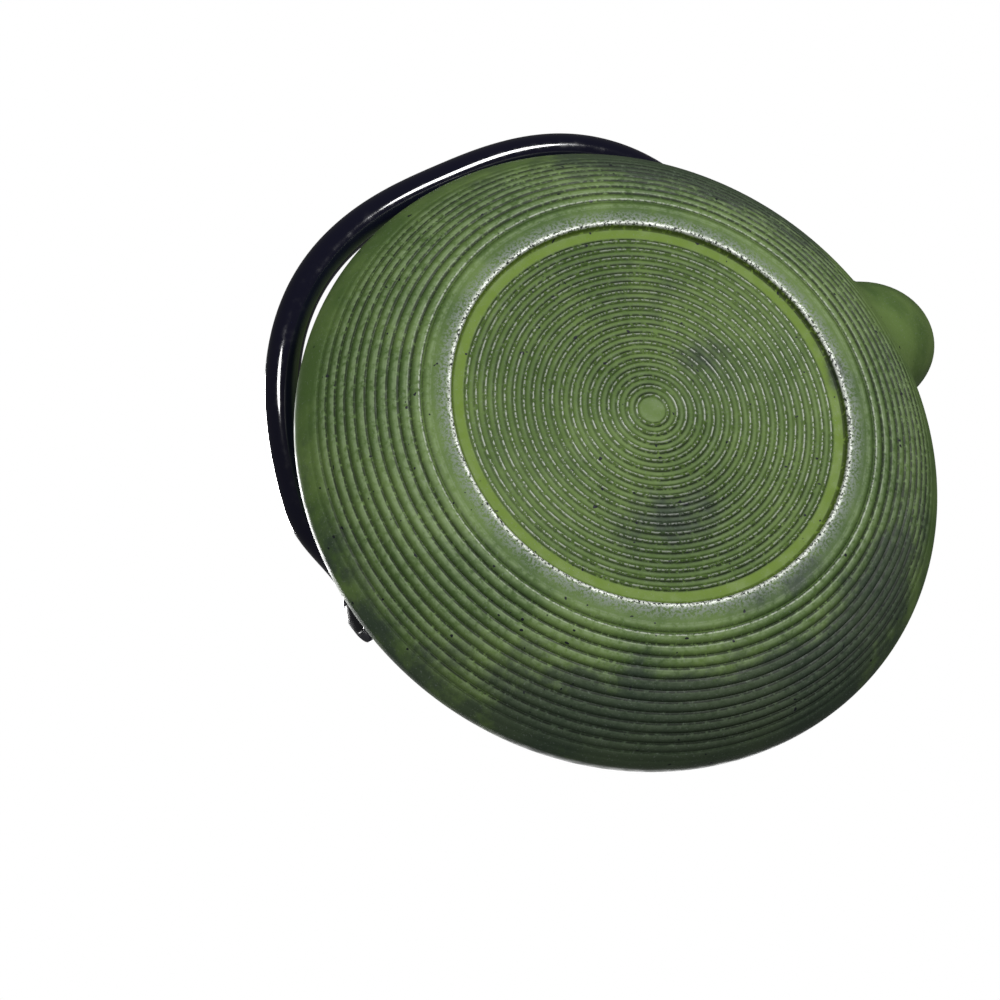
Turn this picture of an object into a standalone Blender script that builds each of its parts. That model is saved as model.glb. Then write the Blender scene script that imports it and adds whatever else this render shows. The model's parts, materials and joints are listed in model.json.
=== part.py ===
"""A low round cast iron teapot with its lid on and its bail handle folded to one side.

Everything is in metres with +Z up. The spout points along +X, the handle is folded towards -Y,
and the origin lies on the table under the middle of the whole teapot's bounding box.
"""

import math

import bmesh
import bpy
from mathutils import Matrix, Vector

# ---- Driving dimensions: the casting ----
BODY_RADIUS = 0.080
BELLY_HEIGHT = 0.0248
SHOULDER_RISE = 0.028
WALL = 0.0030
FOOT_INNER_RADIUS = 0.0482
FOOT_LAND = 0.0018
FOOT_BAND = 0.0025
FOOT_BAND_RISE = 0.0005
BASE_RECESS = 0.0015
BASE_CROWN = 0.0009
FLANK_CONE = 1.5
FLANK_ROUND = 0.712

# ---- Driving dimensions: the mouth ----
MOUTH_RADIUS = 0.0345
SEAT_WIDTH = 0.0045
COLLAR_WALL = 0.0020
COLLAR_HEIGHT = 0.0042
SEAT_DEPTH = 0.0030

# ---- Driving dimensions: the spout ----
SPOUT_PAST_BODY = 0.0250
SPOUT_TIP_HEIGHT = 0.0560
SPOUT_TIP_RADIUS = 0.0097
SPOUT_MOUTH_LEAN = math.radians(60)
SPOUT_NECK = 0.0270
SPOUT_ROOT_DEPTH = 0.028
SPOUT_ROOT_HEIGHT = 0.028
SPOUT_ROOT_RADIUS = 0.0140
SPOUT_BELLY_RADIUS = 0.0220
SPOUT_WALL = 0.0026

# ---- Driving dimensions: lugs, pins and the bail handle ----
HINGE_HEIGHT = 0.0590
LUG_INSET = 0.0200
LUG_THICKNESS = 0.0060
LUG_TOP_RADIUS = 0.0065
LUG_FOOT_WIDTH = 0.0190
PIN_RADIUS = 0.0022
PIN_HEAD_RADIUS = 0.0038
PIN_HEAD_HEIGHT = 0.0015
EYE_RADIUS = 0.0070
EYE_THICKNESS = 0.0045
BAR_RADIUS = 0.0043
BAR_END_RADIUS = 0.0024
BAIL_SPREAD = 0.0104
BAIL_PAST_BODY = 0.0080
BAIL_SQUARENESS = 2.7
BAIL_TAPER_LENGTH = 0.026
BAR_INTO_EYE = 0.0015

# ---- Driving dimensions: lid, knob and rivet ----
LID_EDGE_HEIGHT = 0.0012
LID_RIM_RISE = 0.0034
LID_RIM_INSET = 0.0032
LID_DOME_RISE = 0.0026
LID_DOME_CURVE = 1.6
LID_THICKNESS = 0.0030
LID_FLANGE_DEPTH = 0.0050
LID_FLANGE_WALL = 0.0025
VENT_RADIUS = 0.0021
VENT_FROM_AXIS = 0.0214
KNOB_HEIGHT = 0.0171
KNOB_FOOT_RADIUS = 0.0087
KNOB_TOP_RADIUS = 0.0061
KNOB_LIP = 0.0008
KNOB_LIP_DROP = 0.0005
KNOB_WALL = 0.0015
KNOB_FLOOR = 0.0031
STAR_RADIUS = 0.0050
STAR_HUB_RADIUS = 0.0035
STAR_THICKNESS = 0.0008
STAR_HUB_RISE = 0.0010
STAR_SPOKE_WIDTH = 0.0007
STAR_SPOKE_THICKNESS = 0.00056
STAR_SPOKE_LIFT = 0.00008
STAR_SPOKES = 8
RIVET_RADIUS = 0.0009
RIVET_HEAD_RADIUS = 0.0014
RIVET_HEAD_HEIGHT = 0.0010
RIVET_TAIL_RADIUS = 0.0018
RIVET_WASHER_RADIUS = 0.0040
RIVET_WASHER_THICKNESS = 0.0008

# ---- Driving dimensions: the infuser basket ----
INFUSER_BASE_HEIGHT = 0.0150
INFUSER_SHEET = 0.0008
INFUSER_RIM_THICKNESS = 0.0010
INFUSER_SLEEVE = 0.0006
INFUSER_SLEEVE_DEPTH = 0.0060
INFUSER_CUP_LIP = 0.0016

# ---- Named clearances ----
SEAT_GAP = 0.0003
SIDE_GAP = 0.0006
PIN_GAP = 0.0003
BAIL_REST_GAP = 0.0008
EDGE_ROUND = 0.0006
CUTTER_OVERRUN = 0.010

# ---- Mesh fineness ----
ROUND_STEPS = 48
SMALL_STEPS = 24
ARC_POINTS = 8
LID_POINTS = 5
KNOB_POINTS = 5
BASKET_STEPS = 36
BAIL_POINTS = 36

# ---- A domed head, as shares of its radius and rise ----
DOME_BEND = (0.7, 0.8)
DOME_EDGE = 0.25

# ---- The search for the angle at which the folded handle comes to rest ----
DROOP_FROM = math.radians(-30)
DROOP_TO = math.radians(80)
DROOP_STEP = math.radians(0.05)

# ---- Dependent sizes ----
SPOUT_REACH = BODY_RADIUS + SPOUT_PAST_BODY
LUG_RADIUS_FROM_AXIS = BODY_RADIUS - LUG_INSET
BAIL_HALF_SPAN = LUG_RADIUS_FROM_AXIS + BAIL_SPREAD
BAIL_HEIGHT = BODY_RADIUS + BAIL_PAST_BODY
FOOT_OUTER_RADIUS = FOOT_INNER_RADIUS + FOOT_LAND
FLANK_START_RADIUS = FOOT_OUTER_RADIUS + FOOT_BAND
SEAT_RADIUS = MOUTH_RADIUS + SEAT_WIDTH
COLLAR_RADIUS = SEAT_RADIUS + COLLAR_WALL
SHOULDER_TOP = BELLY_HEIGHT + SHOULDER_RISE * math.sqrt(1 - (COLLAR_RADIUS / BODY_RADIUS) ** 2)
RIM_HEIGHT = SHOULDER_TOP + COLLAR_HEIGHT
SEAT_HEIGHT = RIM_HEIGHT - SEAT_DEPTH
FLOOR_HEIGHT = BASE_RECESS + WALL
LUG_OUTER = LUG_RADIUS_FROM_AXIS + LUG_THICKNESS / 2
LUG_INNER = LUG_RADIUS_FROM_AXIS - LUG_THICKNESS / 2
EYE_INNER = LUG_OUTER + PIN_GAP
EYE_OUTER = EYE_INNER + EYE_THICKNESS
INFUSER_RIM_BOTTOM = SEAT_HEIGHT + SEAT_GAP
INFUSER_RIM_TOP = INFUSER_RIM_BOTTOM + INFUSER_RIM_THICKNESS
INFUSER_RIM_RADIUS = SEAT_RADIUS - SIDE_GAP
SLEEVE_OUTER = MOUTH_RADIUS - SEAT_GAP
SLEEVE_INNER = SLEEVE_OUTER - INFUSER_SLEEVE
BASKET_RADIUS = SLEEVE_INNER - SEAT_GAP
BASKET_INNER = BASKET_RADIUS - INFUSER_SHEET
LID_RADIUS = SEAT_RADIUS - SIDE_GAP
LID_BOTTOM = INFUSER_RIM_TOP + SEAT_GAP
LID_RIM_RADIUS = LID_RADIUS - LID_RIM_INSET
LID_RIM_TOP = LID_BOTTOM + LID_RIM_RISE
LID_TOP = LID_RIM_TOP + LID_DOME_RISE
LID_FLANGE_RADIUS = BASKET_INNER - SIDE_GAP
KNOB_BOTTOM = LID_TOP + SEAT_GAP
KNOB_TOP = KNOB_BOTTOM + KNOB_HEIGHT
RIVET_HOLE = RIVET_RADIUS + SEAT_GAP
STAR_POCKET_RADIUS = STAR_RADIUS + SEAT_GAP
STAR_BOTTOM = KNOB_TOP - STAR_THICKNESS - SEAT_GAP
STAR_TOP = STAR_BOTTOM + STAR_THICKNESS


def shoulder_radius(height):
    """The body's radius at a height above its widest line."""
    share = (height - BELLY_HEIGHT) / SHOULDER_RISE
    return BODY_RADIUS * math.sqrt(max(0.0, 1 - share * share))


def shoulder_profile():
    """Points of the upper half, from the collar's foot down to the widest line."""
    steep = math.acos(COLLAR_RADIUS / BODY_RADIUS)
    points = []
    for step in range(ARC_POINTS + 1):
        angle = steep * (1 - step / ARC_POINTS)
        points.append(
            (BODY_RADIUS * math.cos(angle), BELLY_HEIGHT + SHOULDER_RISE * math.sin(angle))
        )
    return points


def flank_profile():
    """Points of the lower half, from the widest line down to the foot band."""
    drop = BELLY_HEIGHT - FOOT_BAND_RISE
    width = BODY_RADIUS - FLANK_START_RADIUS
    points = []
    for step in range(1, ARC_POINTS + 1):
        angle = math.pi / 2 * (1 - step / ARC_POINTS)
        out = (math.sin(angle) ** 2) ** (1 / FLANK_CONE)
        up = 1 - (math.cos(angle) ** 2) ** FLANK_ROUND
        points.append((FLANK_START_RADIUS + width * out, FOOT_BAND_RISE + drop * up))
    return points


def inset(points, distance):
    """The same line moved inwards by distance along its normals."""
    moved = []
    for index, (radius, height) in enumerate(points):
        before = points[max(index - 1, 0)]
        after = points[min(index + 1, len(points) - 1)]
        run = Vector((after[0] - before[0], after[1] - before[1])).normalized()
        moved.append((radius + run.y * distance, height - run.x * distance))
    return moved


def resting_droop():
    """The angle below level at which the folded handle's crown meets the shoulder."""
    reach = BAR_RADIUS + BAIL_REST_GAP
    droop = DROOP_FROM
    while droop < DROOP_TO:
        out = BAIL_HEIGHT * math.cos(droop)
        height = HINGE_HEIGHT - BAIL_HEIGHT * math.sin(droop)
        nearest = min(
            math.hypot(out - radius, height - level)
            for radius, level in shoulder_profile() + flank_profile()
        )
        level_radius = shoulder_radius(max(height, BELLY_HEIGHT))
        if nearest < reach or out - level_radius < reach:
            return droop
        droop += DROOP_STEP
    return droop


BAIL_DROOP = resting_droop()
BAIL_REACH = BAIL_HEIGHT * math.cos(BAIL_DROOP) + BAR_RADIUS

# The pot's axis stands off the origin, so that the origin is under the middle of the whole teapot.
POT_X = (BODY_RADIUS - SPOUT_REACH) / 2
POT_Y = (BAIL_REACH - BODY_RADIUS) / 2


# ---- Scene helpers ----


def clear_scene():
    for obj in list(bpy.data.objects):
        bpy.data.objects.remove(obj, do_unlink=True)


def new_collection(name):
    collection = bpy.data.collections.new(name)
    bpy.context.scene.collection.children.link(collection)
    return collection


def new_material(name, colour, roughness, metallic):
    material = bpy.data.materials.new(name)
    material.use_nodes = True
    shader = material.node_tree.nodes["Principled BSDF"]
    shader.inputs["Base Color"].default_value = (*colour, 1.0)
    shader.inputs["Roughness"].default_value = roughness
    shader.inputs["Metallic"].default_value = metallic
    return material


def place(obj, collection, parent=None):
    collection.objects.link(obj)
    obj.parent = parent
    return obj


def make_cutter(obj):
    obj.hide_render = True
    obj.display_type = "WIRE"
    return obj


def finish_round(obj, material, sharp_degrees=35):
    obj.data.materials.append(material)
    obj.data.shade_smooth()
    obj.data.set_sharp_from_angle(angle=math.radians(sharp_degrees))
    return obj


def turned(name, profile, closed, steps=ROUND_STEPS):
    """A shape turned about Z from (radius, height) points that run down its outer side."""
    mesh = bpy.data.meshes.new(name)
    count = len(profile)
    edges = [(index, index + 1) for index in range(count - 1)]
    if closed:
        edges.append((count - 1, 0))
    mesh.from_pydata([(radius, 0.0, height) for radius, height in profile], edges, [])
    obj = bpy.data.objects.new(name, mesh)
    screw = obj.modifiers.new("Turn", "SCREW")
    screw.axis = "Z"
    screw.steps = steps
    screw.render_steps = steps
    screw.use_merge_vertices = True
    screw.merge_threshold = 0.00001
    screw.use_smooth_shade = True
    return obj


def domed(radius, base, rise):
    """Points over a domed head, from its tip to its edge. A negative rise domes downwards."""
    bend_out, bend_up = DOME_BEND
    return [
        (0.0, base + rise),
        (radius * bend_out, base + rise * bend_up),
        (radius, base + rise * DOME_EDGE),
    ]


def round_bar(name, points, radii, resolution=4):
    """A bar along the points whose radius changes from point to point, as a closed mesh."""
    curve = bpy.data.curves.new(name, "CURVE")
    curve.dimensions = "3D"
    curve.bevel_depth = 1.0
    curve.bevel_resolution = resolution
    curve.use_fill_caps = True
    spline = curve.splines.new("POLY")
    spline.points.add(len(points) - 1)
    for spot, point, radius in zip(spline.points, points, radii):
        spot.co = (*point, 1.0)
        spot.radius = radius
    return curve_to_mesh(name, curve)


def flat_plate(name, outline, thickness):
    """A plate with the outline in its local XY plane, centred on it, as a closed mesh."""
    curve = bpy.data.curves.new(name, "CURVE")
    curve.dimensions = "2D"
    curve.fill_mode = "BOTH"
    curve.extrude = thickness / 2
    spline = curve.splines.new("POLY")
    spline.points.add(len(outline) - 1)
    spline.use_cyclic_u = True
    for spot, (across, along) in zip(spline.points, outline):
        spot.co = (across, along, 0.0, 1.0)
    return curve_to_mesh(name, curve)


def curve_to_mesh(name, curve):
    """Turns a curve into a mesh object with its caps welded on."""
    source = bpy.data.objects.new(name + "_curve", curve)
    bpy.context.scene.collection.objects.link(source)
    graph = bpy.context.evaluated_depsgraph_get()
    mesh = bpy.data.meshes.new_from_object(source.evaluated_get(graph))
    bpy.data.objects.remove(source, do_unlink=True)
    shape = bmesh.new()
    shape.from_mesh(mesh)
    bmesh.ops.remove_doubles(shape, verts=shape.verts, dist=0.00001)
    bmesh.ops.recalc_face_normals(shape, faces=shape.faces)
    shape.to_mesh(mesh)
    shape.free()
    return bpy.data.objects.new(name, mesh)


def cylinder(name, radius, length, steps=SMALL_STEPS):
    """A cylinder along Z, centred on its own origin."""
    mesh = bpy.data.meshes.new(name)
    shape = bmesh.new()
    bmesh.ops.create_cone(
        shape, cap_ends=True, segments=steps, radius1=radius, radius2=radius, depth=length
    )
    shape.to_mesh(mesh)
    shape.free()
    return bpy.data.objects.new(name, mesh)


def box(name, size):
    """A box centred on its own origin."""
    mesh = bpy.data.meshes.new(name)
    shape = bmesh.new()
    bmesh.ops.create_cube(shape, size=1.0, matrix=Matrix.Diagonal((*size, 1.0)))
    shape.to_mesh(mesh)
    shape.free()
    return bpy.data.objects.new(name, mesh)


def boolean(obj, other, operation):
    modifier = obj.modifiers.new(other.name, "BOOLEAN")
    modifier.operation = operation
    modifier.solver = "EXACT"
    modifier.object = other


def along_x():
    """A turn that lays a Z axis along +X."""
    return Matrix.Rotation(math.pi / 2, 4, "Y")


# ---- The casting: body, spout and lugs in one piece ----


def casting_outside():
    rim = [
        (0.0, RIM_HEIGHT),
        (COLLAR_RADIUS - EDGE_ROUND, RIM_HEIGHT),
        (COLLAR_RADIUS, RIM_HEIGHT - EDGE_ROUND),
    ]
    foot = [
        (FOOT_OUTER_RADIUS, 0.0),
        (FOOT_INNER_RADIUS, 0.0),
        (FOOT_INNER_RADIUS - EDGE_ROUND, BASE_RECESS),
        (0.0, BASE_RECESS - BASE_CROWN),
    ]
    return rim + shoulder_profile() + flank_profile() + foot


def casting_inside():
    over_rim = RIM_HEIGHT + CUTTER_OVERRUN
    wall = inset(shoulder_profile() + flank_profile(), WALL)
    wall = [point for point in wall if point[0] > MOUTH_RADIUS and point[1] > FLOOR_HEIGHT]
    return (
        [(0.0, over_rim), (SEAT_RADIUS, over_rim), (SEAT_RADIUS, SEAT_HEIGHT)]
        + [(MOUTH_RADIUS, SEAT_HEIGHT), (MOUTH_RADIUS, inner_shoulder_height(MOUTH_RADIUS))]
        + [point for point in wall if point[0] > MOUTH_RADIUS + WALL or point[1] < BELLY_HEIGHT]
        + [(0.0, FLOOR_HEIGHT)]
    )


def inner_shoulder_height(radius):
    inner_radius = BODY_RADIUS - WALL
    inner_rise = SHOULDER_RISE - WALL
    return BELLY_HEIGHT + inner_rise * math.sqrt(1 - (radius / inner_radius) ** 2)


def spout_line(count):
    """The spout's middle line, as (distance from the axis, height, outside radius) points."""
    root = (BODY_RADIUS - SPOUT_ROOT_DEPTH, SPOUT_ROOT_HEIGHT)
    tip = (SPOUT_REACH - SPOUT_TIP_RADIUS * math.sin(SPOUT_MOUTH_LEAN), SPOUT_TIP_HEIGHT)
    elbow = (
        tip[0] - SPOUT_NECK * math.cos(SPOUT_MOUTH_LEAN),
        tip[1] - SPOUT_NECK * math.sin(SPOUT_MOUTH_LEAN),
    )
    points = []
    for step in range(count + 1):
        share = step / count
        first, second, third = (1 - share) ** 2, 2 * share * (1 - share), share**2
        out = first * root[0] + second * elbow[0] + third * tip[0]
        height = first * root[1] + second * elbow[1] + third * tip[1]
        radius = (
            first * SPOUT_ROOT_RADIUS + second * SPOUT_BELLY_RADIUS + third * SPOUT_TIP_RADIUS
        )
        points.append((out, height, radius))
    return points


def spout_solids():
    line = spout_line(10)
    outside = round_bar(
        "spout_outside",
        [(out, 0.0, height) for out, height, _ in line],
        [radius for _, _, radius in line],
        resolution=6,
    )
    before, last = line[-2], line[-1]
    beyond = (2 * last[0] - before[0], 2 * last[1] - before[1], last[2])
    bore_line = line + [beyond]
    channel = round_bar(
        "spout_channel",
        [(out, 0.0, height) for out, height, _ in bore_line],
        [radius - SPOUT_WALL for _, _, radius in bore_line],
        resolution=5,
    )
    return outside, channel


def lug(name, side):
    """An upright ear with a round top, on the shoulder at one end of the spout's line."""
    foot_drop = HINGE_HEIGHT - BELLY_HEIGHT - SHOULDER_RISE / 2
    outline = [(LUG_FOOT_WIDTH / 2, -foot_drop)]
    for step in range(ARC_POINTS + 1):
        angle = math.pi * step / ARC_POINTS
        outline.append((LUG_TOP_RADIUS * math.cos(angle), LUG_TOP_RADIUS * math.sin(angle)))
    outline.append((-LUG_FOOT_WIDTH / 2, -foot_drop))
    plate = flat_plate(name, outline, LUG_THICKNESS)
    stand = Matrix(((0, 0, 1, 0), (1, 0, 0, 0), (0, 1, 0, 0), (0, 0, 0, 1)))
    plate.matrix_local = (
        Matrix.Translation((side * LUG_RADIUS_FROM_AXIS, 0.0, HINGE_HEIGHT)) @ stand
    )
    return plate


def make_casting(parts, cutters, axis, material):
    body = place(turned("pot_body", casting_outside(), closed=False), parts, axis)
    spout, channel = spout_solids()
    cavity = turned("cavity", casting_inside(), closed=False)
    place(make_cutter(spout), cutters, axis)
    boolean(body, spout, "UNION")
    for name, side in (("front_lug", 1), ("rear_lug", -1)):
        ear = place(make_cutter(lug(name, side)), cutters, axis)
        boolean(body, ear, "UNION")
    place(make_cutter(cavity), cutters, axis)
    boolean(body, cavity, "DIFFERENCE")
    place(make_cutter(channel), cutters, axis)
    boolean(body, channel, "DIFFERENCE")
    for name, side in (("front_pin_hole", 1), ("rear_pin_hole", -1)):
        hole = cylinder(name, PIN_RADIUS + PIN_GAP, 2 * LUG_THICKNESS)
        hole.matrix_local = (
            Matrix.Translation((side * LUG_RADIUS_FROM_AXIS, 0.0, HINGE_HEIGHT)) @ along_x()
        )
        place(make_cutter(hole), cutters, axis)
        boolean(body, hole, "DIFFERENCE")
    return finish_round(body, material)


# ---- The bail handle and its two pins ----


def bail_line(count):
    """The bar's middle line and radii in the handle's own plane, hinge on X, crown at -Y."""
    eye_centre = (EYE_INNER + EYE_OUTER) / 2
    points = []
    radii = []
    first = EYE_RADIUS - BAR_INTO_EYE
    for step in range(count + 1):
        angle = math.pi * step / count
        across = math.copysign(abs(math.cos(angle)) ** (2 / BAIL_SQUARENESS), math.cos(angle))
        out = BAIL_HEIGHT * math.sin(angle) ** (2 / BAIL_SQUARENESS) if 0 < step < count else 0.0
        out = max(out, first)
        share = min(1.0, (out - first) / BAIL_TAPER_LENGTH)
        ease = share * share * (3 - 2 * share)
        width = abs(across) * BAIL_HALF_SPAN
        width = eye_centre + (width - eye_centre) * ease if share < 1 else width
        points.append((math.copysign(width, across), -out, 0.0))
        radii.append(BAR_END_RADIUS + (BAR_RADIUS - BAR_END_RADIUS) * ease)
    return points, radii


def make_handle(parts, cutters, axis, material):
    hinge = bpy.data.objects.new("handle_hinge", None)
    hinge.location = (0.0, 0.0, HINGE_HEIGHT)
    hinge.rotation_euler = (BAIL_DROOP, 0.0, 0.0)
    place(hinge, parts, axis)
    points, radii = bail_line(BAIL_POINTS)
    handle = place(round_bar("bail_handle", points, radii, resolution=3), parts, hinge)
    for name, side in (("front_eye", 1), ("rear_eye", -1)):
        centre = side * (EYE_INNER + EYE_OUTER) / 2
        eye = cylinder(name, EYE_RADIUS, EYE_THICKNESS)
        across_bar = Matrix.Translation((centre, 0.0, 0.0)) @ along_x()
        eye.matrix_local = across_bar
        place(make_cutter(eye), cutters, hinge)
        boolean(handle, eye, "UNION")
        hole = cylinder(name + "_hole", PIN_RADIUS + PIN_GAP, 3 * EYE_THICKNESS)
        hole.matrix_local = across_bar
        place(make_cutter(hole), cutters, hinge)
        boolean(handle, hole, "DIFFERENCE")
    return finish_round(handle, material)


def make_pin(name, side, parts, axis, material):
    """A headed pin that runs from inside the lug to outside the handle's eye."""
    inner = LUG_INNER - PIN_GAP
    outer = EYE_OUTER + PIN_GAP
    profile = domed(PIN_HEAD_RADIUS, outer, PIN_HEAD_HEIGHT)
    profile += [(PIN_HEAD_RADIUS, outer), (PIN_RADIUS, outer)]
    profile += [(PIN_RADIUS, inner), (PIN_HEAD_RADIUS, inner)]
    profile += domed(PIN_HEAD_RADIUS, inner, -PIN_HEAD_HEIGHT)[::-1]
    pin = turned(name, profile, closed=False, steps=16)
    turn = along_x() if side > 0 else Matrix.Rotation(-math.pi / 2, 4, "Y")
    pin.matrix_local = Matrix.Translation((0.0, 0.0, HINGE_HEIGHT)) @ turn
    place(pin, parts, axis)
    return finish_round(pin, material)


# ---- The lid, its knob and what fastens it ----


def lid_top(radius):
    """Height of the lid's upper face: level under the knob, then falling to the rim."""
    share = max(0.0, (radius - KNOB_FOOT_RADIUS) / (LID_RIM_RADIUS - KNOB_FOOT_RADIUS))
    return LID_TOP - LID_DOME_RISE * share**LID_DOME_CURVE


def lid_profile():
    top = [(RIVET_HOLE, LID_TOP)]
    under = []
    for step in range(LID_POINTS + 1):
        radius = KNOB_FOOT_RADIUS + (LID_RIM_RADIUS - KNOB_FOOT_RADIUS) * step / LID_POINTS
        top.append((radius, lid_top(radius)))
        if radius < LID_FLANGE_RADIUS - LID_FLANGE_WALL:
            under.append((radius, lid_top(radius) - LID_THICKNESS))
    edge = [
        (LID_RADIUS, LID_BOTTOM + LID_EDGE_HEIGHT),
        (LID_RADIUS, LID_BOTTOM),
        (LID_FLANGE_RADIUS, LID_BOTTOM),
        (LID_FLANGE_RADIUS, LID_BOTTOM - LID_FLANGE_DEPTH),
        (LID_FLANGE_RADIUS - LID_FLANGE_WALL, LID_BOTTOM - LID_FLANGE_DEPTH),
        (
            LID_FLANGE_RADIUS - LID_FLANGE_WALL,
            lid_top(LID_FLANGE_RADIUS - LID_FLANGE_WALL) - LID_THICKNESS,
        ),
    ]
    return top + edge + under[::-1] + [(RIVET_HOLE, LID_TOP - LID_THICKNESS)]


def make_lid_plate(parts, cutters, axis, material):
    plate = place(turned("lid_plate", lid_profile(), closed=True), parts, axis)
    vent = cylinder("vent_hole", VENT_RADIUS, 4 * LID_THICKNESS, steps=12)
    vent.location = (-VENT_FROM_AXIS, 0.0, LID_TOP - LID_THICKNESS / 2)
    place(make_cutter(vent), cutters, axis)
    boolean(plate, vent, "DIFFERENCE")
    return finish_round(plate, material)


def knob_radius(height_share):
    """The knob's outside radius: a slim neck that flares to its foot."""
    flare = (1 - height_share) ** 2
    return KNOB_TOP_RADIUS + (KNOB_FOOT_RADIUS - KNOB_TOP_RADIUS) * flare


def knob_profile():
    outside = [(KNOB_TOP_RADIUS - KNOB_LIP / 2, KNOB_TOP)]
    highest = 1 - KNOB_LIP_DROP / KNOB_HEIGHT
    for step in range(KNOB_POINTS + 1):
        share = highest * (1 - step / KNOB_POINTS)
        outside.append((knob_radius(share), KNOB_BOTTOM + KNOB_HEIGHT * share))
    bore = STAR_RADIUS - SEAT_GAP
    pocket_floor = STAR_BOTTOM - SEAT_GAP
    inside = [
        (RIVET_HOLE, KNOB_BOTTOM),
        (RIVET_HOLE, KNOB_BOTTOM + KNOB_FLOOR),
        (bore - 2 * EDGE_ROUND, KNOB_BOTTOM + KNOB_FLOOR),
        (bore, KNOB_BOTTOM + KNOB_FLOOR + 2 * EDGE_ROUND),
        (bore, pocket_floor),
        (STAR_POCKET_RADIUS, pocket_floor),
        (STAR_POCKET_RADIUS, KNOB_TOP),
    ]
    return outside + inside


def make_star_washer(parts, cutters, axis, material):
    """A hub with eight short spokes that lies in the pocket at the knob's top."""
    hub = domed(STAR_HUB_RADIUS, STAR_TOP, STAR_HUB_RISE)
    hub += [(STAR_HUB_RADIUS, STAR_BOTTOM), (0.0, STAR_BOTTOM)]
    washer = place(turned("knob_star_washer", hub, False, SMALL_STEPS), parts, axis)
    for index in range(STAR_SPOKES // 2):
        size = (2 * STAR_RADIUS, STAR_SPOKE_WIDTH, STAR_SPOKE_THICKNESS)
        bar = box(f"spoke_pair_{index}", size)
        bar.location = (0.0, 0.0, STAR_BOTTOM + STAR_SPOKE_LIFT + STAR_SPOKE_THICKNESS / 2)
        bar.rotation_euler = (0.0, 0.0, 2 * math.pi * (index + 0.5) / STAR_SPOKES)
        place(make_cutter(bar), cutters, axis)
        boolean(washer, bar, "UNION")
    clear = cylinder("star_rivet_hole", RIVET_HOLE, 4 * STAR_THICKNESS, steps=SMALL_STEPS)
    clear.location = (0.0, 0.0, STAR_TOP)
    place(make_cutter(clear), cutters, axis)
    boolean(washer, clear, "DIFFERENCE")
    return finish_round(washer, material)


def make_rivet(parts, axis, material):
    head = STAR_TOP + STAR_HUB_RISE + SEAT_GAP
    washer_bottom = LID_TOP - LID_THICKNESS - SEAT_GAP - RIVET_WASHER_THICKNESS
    tail = washer_bottom - SEAT_GAP
    profile = domed(RIVET_HEAD_RADIUS, head, RIVET_HEAD_HEIGHT)
    profile += [(RIVET_HEAD_RADIUS, head), (RIVET_RADIUS, head)]
    profile += [(RIVET_RADIUS, tail), (RIVET_TAIL_RADIUS, tail)]
    profile += domed(RIVET_TAIL_RADIUS, tail, -RIVET_HEAD_HEIGHT)[::-1]
    return finish_round(place(turned("knob_rivet", profile, False, 16), parts, axis), material)


def make_rivet_washer(parts, axis, material):
    top = LID_TOP - LID_THICKNESS - SEAT_GAP
    bottom = top - RIVET_WASHER_THICKNESS
    profile = [
        (RIVET_HOLE, top),
        (RIVET_WASHER_RADIUS, top),
        (RIVET_WASHER_RADIUS, bottom),
        (RIVET_HOLE, bottom),
    ]
    return finish_round(place(turned("rivet_washer", profile, True, 16), parts, axis), material)


# ---- The infuser basket: rolled rim, mesh wall and base cup ----


def make_infuser(parts, axis, material):
    wall_top = INFUSER_RIM_BOTTOM - SEAT_GAP
    wall_bottom = INFUSER_BASE_HEIGHT + INFUSER_SHEET + SEAT_GAP
    rim_profile = [
        (BASKET_INNER - SEAT_GAP, INFUSER_RIM_TOP),
        (INFUSER_RIM_RADIUS, INFUSER_RIM_TOP),
        (INFUSER_RIM_RADIUS, INFUSER_RIM_BOTTOM),
        (SLEEVE_OUTER, INFUSER_RIM_BOTTOM),
        (SLEEVE_OUTER, INFUSER_RIM_BOTTOM - INFUSER_SLEEVE_DEPTH),
        (SLEEVE_INNER, INFUSER_RIM_BOTTOM - INFUSER_SLEEVE_DEPTH),
        (SLEEVE_INNER, INFUSER_RIM_BOTTOM),
        (BASKET_INNER - SEAT_GAP, INFUSER_RIM_BOTTOM),
    ]
    wall_profile = [
        (BASKET_INNER, wall_top),
        (BASKET_RADIUS, wall_top),
        (BASKET_RADIUS, wall_bottom),
        (BASKET_INNER, wall_bottom),
    ]
    base_profile = [
        (0.0, INFUSER_BASE_HEIGHT + INFUSER_SHEET),
        (SLEEVE_INNER, INFUSER_BASE_HEIGHT + INFUSER_SHEET),
        (SLEEVE_INNER, INFUSER_BASE_HEIGHT + INFUSER_SHEET + INFUSER_CUP_LIP),
        (SLEEVE_OUTER, INFUSER_BASE_HEIGHT + INFUSER_SHEET + INFUSER_CUP_LIP),
        (SLEEVE_OUTER, INFUSER_BASE_HEIGHT),
        (0.0, INFUSER_BASE_HEIGHT),
    ]
    finish_round(place(turned("infuser_rim", rim_profile, True, BASKET_STEPS), parts, axis), material)
    finish_round(place(turned("infuser_wall", wall_profile, True, BASKET_STEPS), parts, axis), material)
    finish_round(place(turned("infuser_base", base_profile, False, BASKET_STEPS), parts, axis), material)


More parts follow.
